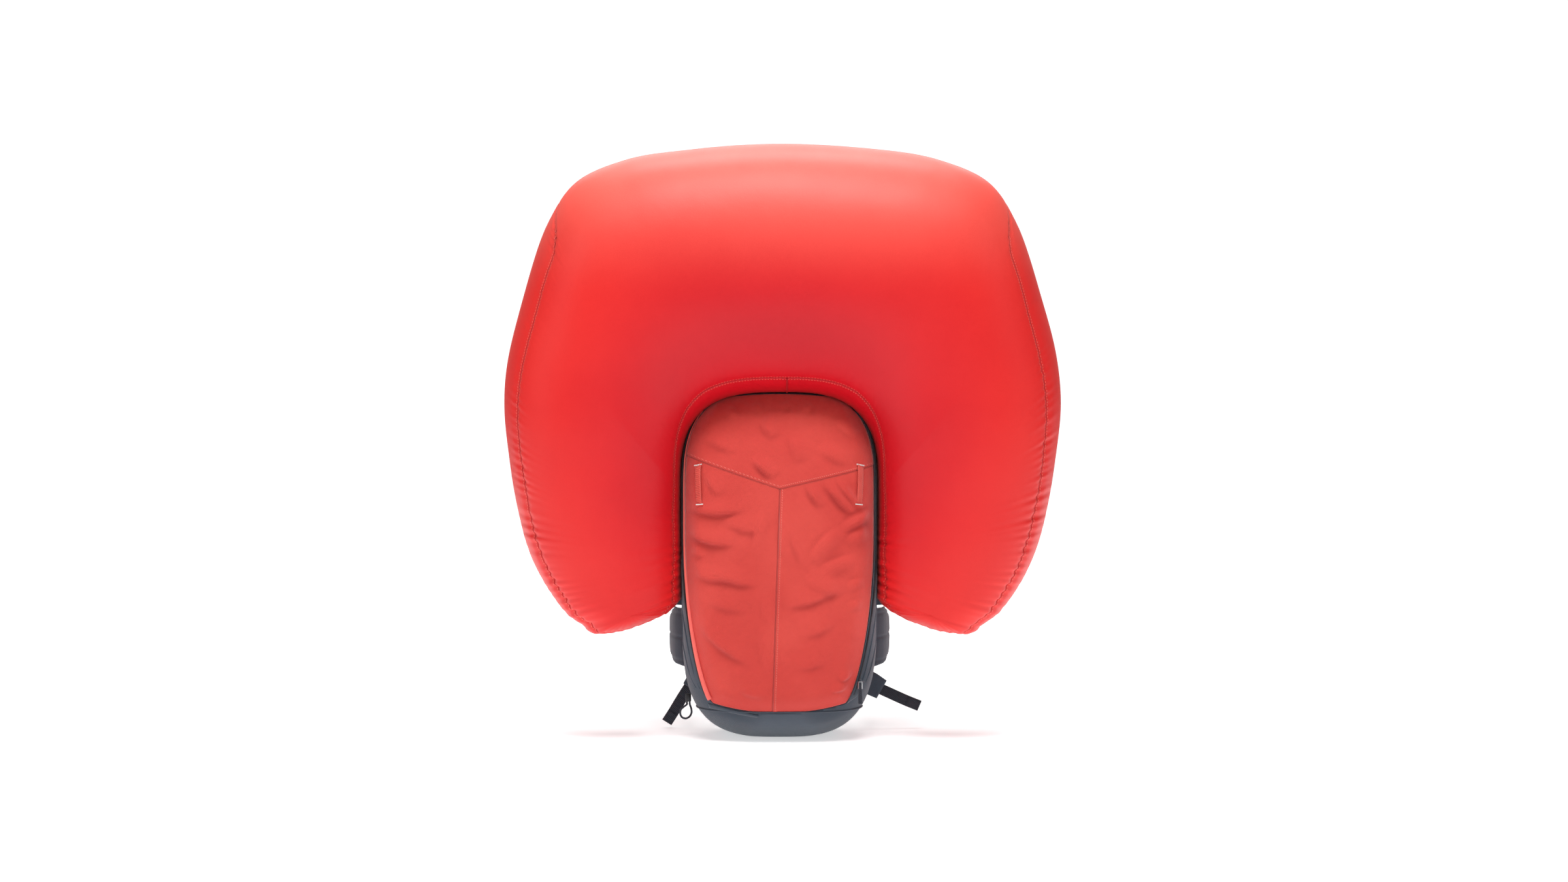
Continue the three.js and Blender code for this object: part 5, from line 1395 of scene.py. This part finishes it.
def press_grooves(piece, depth, width, distance):
    """Presses stitched grooves into a piece: distance gives each point's way to the nearest line."""
    points = coordinates(piece.data)
    normals = np.empty(len(points) * 3, np.float32)
    piece.data.vertices.foreach_get("normal", normals)
    groove = depth * np.exp(-(distance(points) / width) ** 2)
    place_points(piece, points - normals.reshape(-1, 3) * groove[:, None])


BINDING_RADIUS = 0.0019
BINDING_SINK = 0.0009


def rim_line(piece, centre, axis, sign):
    """A piece's centre line pushed out to its widest point on one side."""
    points = coordinates(piece.data)
    others = [i for i in range(3) if i != axis]
    away = np.linalg.norm(points[:, None, others] - centre[None][:, :, others], axis=2)
    nearest = away.argmin(axis=1)
    reach = np.array([
        ((points[np.abs(nearest - i) <= 3, axis] - centre[i, axis]) * sign).max()
        for i in range(len(centre))])
    reach = np.convolve(np.pad(reach, 4, mode="edge"), np.ones(9) / 9, "valid")
    line = centre.copy()
    line[:, axis] += sign * (reach - BINDING_SINK)
    return line


def bind(name, line, bodies):
    """A binding tape along the left piece's rim, and its mirror image on the right."""
    for side_name, flip, body in (("left", 1, bodies[0]), ("right", -1, bodies[1])):
        tape = tube(f"{name}_{side_name}", line * [flip, 1, 1], BINDING_RADIUS)
        dress(tape, navy_webbing, body)


# %% [markdown]
# A shoulder strap is a long foam pad that starts on the sack, arches over the shoulder and comes
# down the chest. Rows of stitches near its edges and bars across it hold foam and cover together:
# they are grooves pressed into the stuffed mesh. A tape binds each edge, and is laid along the
# widest line that the stuffed cover really has.

# %% Shoulder straps
STRAP = [(70, -12, 1, 50), (71, 2, 1.12, 54), (75, 40, 1.19, 60), (80, 86, 1.135, 60), (85, 118, .98, 60),
         (88, 128, .83, 60), (90, 128, .63, 60), (92, 128, .42, 60), (97, 112, .2, 54), (104, 92, 0, 46)]
strap_line = [(-x, y, strap_z(share), width) for x, y, share, width in STRAP]


def tapered(full, count, blunt, rate):
    """A thickness that is full along a piece and thinner at its two ends."""
    place = np.linspace(0, 1, count)
    return full * np.minimum(1, blunt + rate * np.minimum(place, 1 - place))


lean = [(x, y, z, width - 5) for x, y, z, width in strap_line]
strap_cover = strip("strap_cover_left", lean, (1, 0, 0), tapered(8.5, 90, 0.45, 6), 90, PAD_SECTION)
strap_left = stuff(strap_cover, cap=0.0032)
strap_centre = centripetal(np.array(strap_line)[:, :3] * MM, np.linspace(0, 1, 200))
STRAP_ROW = 0.0205
STRAP_BARS = np.array([30, 62, 96, 128, 160])
STRAP_STEP = 0.0023


def strap_seams(points):
    """Distance to the stitched lines: one near each edge, and bars across the foam."""
    nearest = np.linalg.norm(points[:, None, 1:] - strap_centre[None, :, 1:], axis=2).argmin(axis=1)
    beside = np.abs(points[:, 0] - strap_centre[nearest, 0])
    run = np.min(np.abs(nearest[:, None] - STRAP_BARS[None]), axis=1) * STRAP_STEP
    return np.minimum(np.abs(beside - STRAP_ROW), np.where(beside < STRAP_ROW, run, 1))


press_grooves(strap_left, 0.0014, 0.0022, strap_seams)
strap_right = mirror_copy(strap_left, "strap_cover_right")
for name, piece in (("left", strap_left), ("right", strap_right)):
    dress(piece, strap_cloth, "pack", [f"shoulder_strap_{name}"])
for word, sign in (("outer", -1), ("inner", 1)):
    bind(f"strap_binding_{word}", rim_line(strap_left, strap_centre[6:-6], 0, sign), ("pack", "pack"))
print("strap", len(strap_left.data.polygons), "faces")

# %% [markdown]
# The pads sit either side of the spine and leave a channel for air. Four sewn bars across each
# keep the foam from sliding. The lumbar pad has one such bar along its middle. Every pad has a
# sewn line near its edge and a tape that binds the edge.

# %% Back pads and lumbar pad
PAD_THICK = 20.0


def pad_outline(x0, x1, z0, z1, corner, inset=0.0):
    """Outline of a pad with cut corners, as points at even distances."""
    x0, x1, z0, z1 = x0 + inset, x1 - inset, z0 + inset, z1 - inset
    c = corner
    knots = np.array([
        (x1 - c, z0), (x1, z0 + c), (x1, z1 - c), (x1 - c, z1), (x0 + c, z1), (x0, z1 - c), (x0, z0 + c),
        (x0 + c, z0), (x1 - c, z0)])
    run = path_run(knots)
    even = np.linspace(0, run[-1], 120, endpoint=False)
    loop = np.stack([np.interp(even, run, knots[:, i]) for i in range(2)], axis=1)
    for _ in range(3):
        loop = (np.roll(loop, 1, axis=0) + 2 * loop + np.roll(loop, -1, axis=0)) / 4
    return loop


def pad_cover(name, outline, thick):
    """A closed cover: the outline drawn in towards its two faces."""
    middle = outline.mean(axis=0)
    face = [(0.05, 0.98), (0.5, 1.0), (0.86, 0.97), (0.955, 0.8), (1, 0.35)]
    rows = []
    for share, lift in face + [(share, -lift) for share, lift in face[::-1]]:
        ring = middle + (outline - middle) * share
        y = -PAD_THICK / 2 + lift * thick / 2
        rows.append([(x, y, z) for x, z in ring])
    return turn_outward(skin(name, np.array(rows) * MM, closed=True, caps=True))


PADS = {  # x0, x1, z0, z1 and cut corner, then the levels of the sewn bars
    "back_pad": ((17, 121, 60, 338, 22), [110, 175, 240, 300]),
    "lumbar_pad": ((-142, 142, -52, 52, 16), [0]),
}


def finish_pad(name, node, outline, piece):
    dress(piece, back_mesh, "pack", [node])
    path = [(x, -PAD_THICK / 2, z) for x, z in outline]
    points = np.array(path + path[:1]) * MM
    binding = tube(f"{name}_binding", points, 0.0021)
    dress(binding, navy_webbing, "pack")


for name, (sizes, bars) in PADS.items():
    cover = pad_cover(f"{name}_cover_right", pad_outline(*sizes, inset=3.0), PAD_THICK - 6)
    stuff(cover, cap=0.0038)
    edge_line = pad_outline(*sizes, inset=12.0) * MM

    def pad_seams(points, edge_line=edge_line, bars=bars):
        flat = points[:, [0, 2]]
        edge = np.linalg.norm(flat[:, None] - edge_line[None], axis=2).min(axis=1)
        level = np.abs(points[:, 2][:, None] - np.array(bars)[None] * MM).min(axis=1)
        return np.minimum(edge, level)

    press_grooves(cover, 0.0022, 0.0028, pad_seams)
    outline = pad_outline(*sizes, inset=1.2)
    if name == "lumbar_pad":
        cover.name = "lumbar_cover"
        finish_pad("lumbar", "lumbar_pad", outline, cover)
    else:
        finish_pad("back_pad_right", "back_pad_right", outline, cover)
        other = mirror_copy(cover, "back_pad_cover_left")
        finish_pad("back_pad_left", "back_pad_left", outline * [-1, 1], other)
    print(name, len(cover.data.polygons), "faces")

# %% [markdown]
# A belt fin wraps the hip. It turns on its root, where only cloth joins it to the pack. So the
# padded fin is one piece on the fin's body, and a short sleeve of cloth at the root is blended
# across the joint: it bends when the fin folds, as the real cloth does.

# %% Belt fins
FIN = [(0, -8.5, 104), (16, 12, 104), (25, 46, 100), (26, 90, 84), (14, 136, 62)]
fin_line = [(-(148 + out), y, 0, height) for out, y, height in FIN]
slim = [(x, y, z, height - 3) for x, y, z, height in fin_line]
fin_cover = strip("fin_cover_left", slim, (0, 0, 1), tapered(9.0, 80, 0.5, 7), 80, PAD_SECTION)
fin_left = stuff(fin_cover, cap=0.0034)
fin_centre = centripetal(np.array(fin_line)[:, :3] * MM, np.linspace(0, 1, 150))
fin_height = np.interp(np.linspace(0, 4, 150), np.arange(5), [row[2] for row in FIN]) * MM


def fin_seams(points):
    nearest = np.linalg.norm(points[:, None, :2] - fin_centre[None, :, :2], axis=2).argmin(axis=1)
    level = np.abs(points[:, 2])
    rails = np.abs(level - (fin_height[nearest] / 2 - 0.013))
    return np.minimum(rails, level)


press_grooves(fin_left, 0.0016, 0.0026, fin_seams)
fin_right = mirror_copy(fin_left, "fin_cover_right")
for word, sign in (("upper", 1), ("lower", -1)):
    bind(f"fin_binding_{word}", rim_line(fin_left, fin_centre[5:-5], 2, sign), ("fin_left", "fin_right"))
SLEEVE = [(133, -13, 0, 86), (141, -12.5, 0, 90), (149, -8, 0, 94), (156, -1, 0, 94)]
WING = [(159, -15, 55, 30), (158, -16, 76, 27), (155, -19, 98, 20), (151, -22, 122, 12)]
for name, piece in (("left", fin_left), ("right", fin_right)):
    side = SIDES[name]
    body = f"fin_{name}"
    dress(piece, strap_cloth, body, [f"hip_fin_{name}"])
    sleeve_line, wing_line = ([(side * x, *rest) for x, *rest in line] for line in (SLEEVE, WING))
    root = strip(f"fin_root_cloth_{name}", sleeve_line, (0, 0, 1), 5.0, 40, PAD_SECTION)
    dress(root, strap_cloth, None)
    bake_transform(root, "pack", body, start=(side * 0.140, -0.0125, 0), end=(side * 0.154, -0.003, 0))
    wing = strip(f"side_wing_{name}", wing_line, (1, 0, 0), 3.0, 50, PAD_SECTION)
    dress(wing, slate_cloth, "pack")
print("fin", len(fin_left.data.polygons), "faces")

# %% [markdown]
# ## Details on the front
#
# Two webbing loops for skis or poles are sewn to the panel's edges, each held by a white bartack
# above and below. A bartack is a dense bar of thread: a small ribbed strip laid over the webbing.

# %% Gear loops and bartacks
PANEL_LIFT = 6.4


def front_point(x, z, lift=0.0):
    """A point in millimetres on the panel's face at x and z, raised forwards by lift."""
    height = (z - BASE) * MM
    return (x, front_y(abs(x) * MM, height) / MM - lift, z)


def bartack(name, x, z, length, tilt, lift=PANEL_LIFT + 3.3):
    """A dense bar of thread, 1.6 mm wide, laid across the webbing."""
    way_x, way_z = math.cos(math.radians(tilt)), math.sin(math.radians(tilt))
    reaches = [share * length / 2 for share in (-1, -0.3, 0.3, 1)]
    stations = [(*front_point(x + reach * way_x, z + reach * way_z, lift), 1.9) for reach in reaches]
    wave = 1.0 + 0.35 * np.sin(np.linspace(0, 11 * math.pi, 60))
    tack = strip(name, stations, (0, 0, 1), wave, 60)
    dress(tack, white_thread, "panel")


LOOP_X = 129.5
LOOP_FOOT = 233.5
LOOP_TALL = 65.5
LOOP_LEAN = 2.2
LOOP_RISE = [0.2, 6.0, 8.5, 9.5, 8.5, 6.0, 0.2]
for name, side in SIDES.items():
    loop = []
    for z, up in zip(np.linspace(LOOP_FOOT, LOOP_FOOT + LOOP_TALL, 7), LOOP_RISE):
        x, y, z = front_point(side * (LOOP_X - 0.5 + 0.5 * up / 5), z, 1.2 + PANEL_LIFT + up * 0.35)
        loop.append((x - side * LOOP_LEAN * (1 - (z - LOOP_FOOT) / LOOP_TALL), y, z, 12.0))
    piece = strip(f"ski_loop_{name}", loop, (1, side * 1.1, 0), 2.0, 60)
    dress(piece, coral_webbing, "panel", [f"gear_loop_{name}"])
    bartack(f"bartack_upper_{name}", side * (LOOP_X - 0.5), 298.0, 12.5, tilt=side * -14)
    bartack(f"bartack_lower_{name}", side * (LOOP_X - 3.0), 236.0, 11.5, tilt=side * -8,
            lift=PANEL_LIFT + 5.4)

# %% [markdown]
# A pink piping shows along the panel's left edge, where the lining peeps out, and a coil zip runs
# round the opening. Beside it lie the seams of the zip's flap and of the gusset. The panel's foot
# stays joined to the sack by a strip of cloth, blended across the joint so that it bends.

# %% Piping, zip and hinge cloth
EDGE_STEPS = 140
HEM_POINTS = 19
ZIP_PITCH = 2.6
outline_rows = panel_outline(-0.0016, steps=EDGE_STEPS) / MM
right_edge = outline_rows[HEM_POINTS:HEM_POINTS + EDGE_STEPS]
left_edge = right_edge[::-1] * [-1, 1]


def edge_path(edge, low, high, lift):
    """The part of an edge between two levels, on the face and raised forwards by lift."""
    return np.array([front_point(x, z + BASE, lift) for x, z in edge if low <= z + BASE <= high])


pipe = edge_path(right_edge * [-1, 1], -78, 385, 5.2)
drop = np.clip((300 - pipe[:, 2]) / 380, 0, 1)
pipe_radius = (1.1 + 2.6 * drop ** 1.2) * MM
pipe[:, 0] += 1.2 + 1.6 * drop
dress(tube("pink_piping_left", pipe * MM, pipe_radius), pink_piping, "panel")

top_x, top_z = right_edge[-1][0], 403.5
over = [front_point(x, top_z + 4.5 * (1 - (x / top_x) ** 2), 0.8) for x in np.linspace(top_x, -top_x, 41)]
zip_path = np.vstack([
    edge_path(right_edge, -70, 396, 0.8), over[2:-2], edge_path(left_edge, -70, 396, 0.8)])
zip_path[:, 0] *= 1.012
run = path_run(zip_path)
even = np.linspace(0, run[-1], 1100)
zip_path = np.stack([np.interp(even, run, zip_path[:, i]) for i in range(3)], axis=1)
teeth = (1.35 + 0.4 * np.sin(even * 2 * math.pi / ZIP_PITCH)) * MM
dress(tube("zip_coil", zip_path * MM, teeth, sides=6), black_plastic, "pack")

for name, side in SIDES.items():
    edge = right_edge if side > 0 else left_edge
    for word, out, radius in (("flap", 9.0, 1.1), ("gusset", 17.0, 0.9)):
        line = edge_path(edge, -62, 250, 0)
        height = (line[:, 2] - BASE) * MM
        reach = np.abs(line[:, 0]) + out * smooth_step(height, 0.02, 0.12)
        reach = np.minimum(reach, sack_half_width(height) / MM - 1.5)
        line = np.stack([side * reach, front_y(reach * MM, height) / MM - 0.6, line[:, 2]], axis=1)
        cord = tube(f"{word}_seam_{name}", line * MM, radius * MM, sides=8)
        dress(cord, slate_cloth, "pack")

hinge_rows = []
for z, lift in ((-112, -3.4), (-107, -3.4), (-101, -3.4), (-95, -3.6), (-89, -3.8), (-82, -4.0)):
    hinge_rows.append([
        np.array(front_point(x, z - 10 * (1 - (x / 96) ** 2), lift)) * MM for x in np.linspace(-88, 88, 61)])
hinge_cloth = turn_outward(skin("hinge_cloth", np.array(hinge_rows)))
thicken(hinge_cloth, 0.0012, offset=0)
dress(hinge_cloth, slate_cloth, None)
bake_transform(hinge_cloth, "pack", "panel", start=(0, -0.189, -0.108), end=(0, -0.191, -0.096))

tab_low, tab_high = (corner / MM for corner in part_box("zip_pull"))
pull_x, pull_y = (tab_low.x + tab_high.x) / 2, (tab_low.y + tab_high.y) / 2
pull = [(pull_x, pull_y, tab_high.z, 4.2), (pull_x, pull_y, tab_high.z - 8, 4.6), (pull_x, pull_y, -75, 6.4),
        (pull_x, pull_y, tab_low.z, 6.6)]
dress(strip("zip_puller_tape", pull, (1, 0, 0), 1.9, 40), navy_webbing, "zip_tab", ["zip_pull"])

# %% [markdown]
# Two small patches of pack cloth lie on the sack below the panel: the garage that covers the
# zip's end, and the flap of a flat pocket at the hem. Each is a grid between four corners, laid
# on the sack's front and raised a little in its middle.

# %% Zip garage and hem flap
def front_patch(name, corners, lift, thickness):
    """A small patch laid on the sack's front between four corners of x and z."""
    a, b, c, d = np.array(corners, float)
    rows = []
    for down in np.linspace(0, 1, 13):
        start, end = a + (d - a) * down, b + (c - b) * down
        line = [start + (end - start) * share for share in np.linspace(0, 1, 25)]
        raised = lift * np.sin(math.pi * min(max(down, 0.03), 0.97)) ** 0.4
        rows.append([np.array(front_point(x, z, raised)) * MM for x, z in line])
    patch = turn_outward(skin(name, np.array(rows)))
    thicken(patch, thickness * MM)
    dress(patch, slate_cloth, "pack")


front_patch("zip_garage", [(108, -84), (124, -74), (136, -50), (129, -44)], 3.0, 1.4)
front_patch("hem_pocket_flap", [(-112, -92), (-34, -106), (-33, -101), (-114, -84)], 2.2, 1.2)

# %% [markdown]
# The sack's cloth is sewn to its base low down and to its crown at the top. A thin raised line
# along a ring of the sack stands for the felled seam: round the front at the base, and across
# the back at the crown.

# %% Seams of the sack
SACK_SEAMS = [("base", 0.050, (1.02 * math.pi, 1.98 * math.pi), 160), ("crown", 0.520, (0.3, 2.84), 120)]
for word, level, (first, last), count in SACK_SEAMS:
    ring = sack_ring(level, np.linspace(first, last, count))
    outward_way = ring - np.array([0, BACK_Y - 0.08, ring[0, 2]])
    outward_way[:, 2] = 0
    outward_way /= np.linalg.norm(outward_way, axis=1)[:, None]
    seam = tube(f"{word}_seam", ring + outward_way * 0.0007, 0.0013, sides=8)
    dress(seam, slate_cloth, "pack")

# %% [markdown]
# ## Softened hard parts
#
# The CAD's buckles and housings have knife-sharp edges, but a moulded part never does. A copy of
# the node is merged, bevelled by a fraction of a millimetre and shaded by angle, so that its
# edges catch a thin line of light. It stands in for the node at the same place.

# %% Soft edges
SOFTENED = {  # width of the bevel in millimetres
    "chest_buckle_socket": 0.7, "chest_buckle_tongue": 0.6, "hip_buckle_socket": 0.9,
    "hip_buckle_tongue": 0.8, "chest_slider_left": 0.6, "chest_slider_right": 0.6,
    "ladder_lock_left": 0.7, "ladder_lock_right": 0.7, "trigger_housing": 1.0,
    "trigger_handle": 1.2, "tool_loop_lock": 1.0, "zip_slider": 0.5,
}
slots = {entry["node"]: entry["material_slot"] for entry in frame["record"]["subparts"]}


def soften(node, width):
    copy = link(f"{node}_moulded", frame["nodes"][node].data.copy())
    work = bmesh.new()
    work.from_mesh(copy.data)
    bmesh.ops.remove_doubles(work, verts=work.verts, dist=0.00002)
    bmesh.ops.dissolve_limit(work, angle_limit=0.02, verts=work.verts, edges=work.edges)
    work.to_mesh(copy.data)
    work.free()
    only(copy)
    edge = copy.modifiers.new("edge", "BEVEL")
    edge.width = width * MM
    edge.segments = 3
    edge.limit_method = "ANGLE"
    edge.angle_limit = math.radians(28)
    bpy.ops.object.modifier_apply(modifier=edge.name)
    bpy.ops.object.shade_smooth_by_angle(angle=math.radians(34))
    return copy


FINISH_OF_SLOT = {
    "bag_nylon": red_nylon, "coral_fabric": coral_webbing, "slate_fabric": slate_cloth,
    "back_mesh": back_mesh, "webbing": navy_webbing, "black_plastic": black_plastic,
    "grey_plastic": grey_plastic, "red_plastic": red_plastic, "aluminium": aluminium, "steel": steel,
    "board": circuit_green, "cell_sleeve": sleeve, "lens": clear_lens,
}
for node, width in SOFTENED.items():
    body = body_of(frame["nodes"][node])[0]
    dress(soften(node, width), FINISH_OF_SLOT[slots[node]], body, [node])
print("softened", len(SOFTENED), "hard parts")

# %% [markdown]
# ## Finish for the CAD nodes that stay
#
# A moulded or turned node already has its true shape. It only needs its material, found here
# from the slot that the record gives it.

# %% Materials of the CAD nodes
for name, slot in slots.items():
    node = frame["nodes"][name]
    node.data.materials.clear()
    node.data.materials.append(FINISH_OF_SLOT[slot].material)
print("CAD nodes with a finish", len(slots))
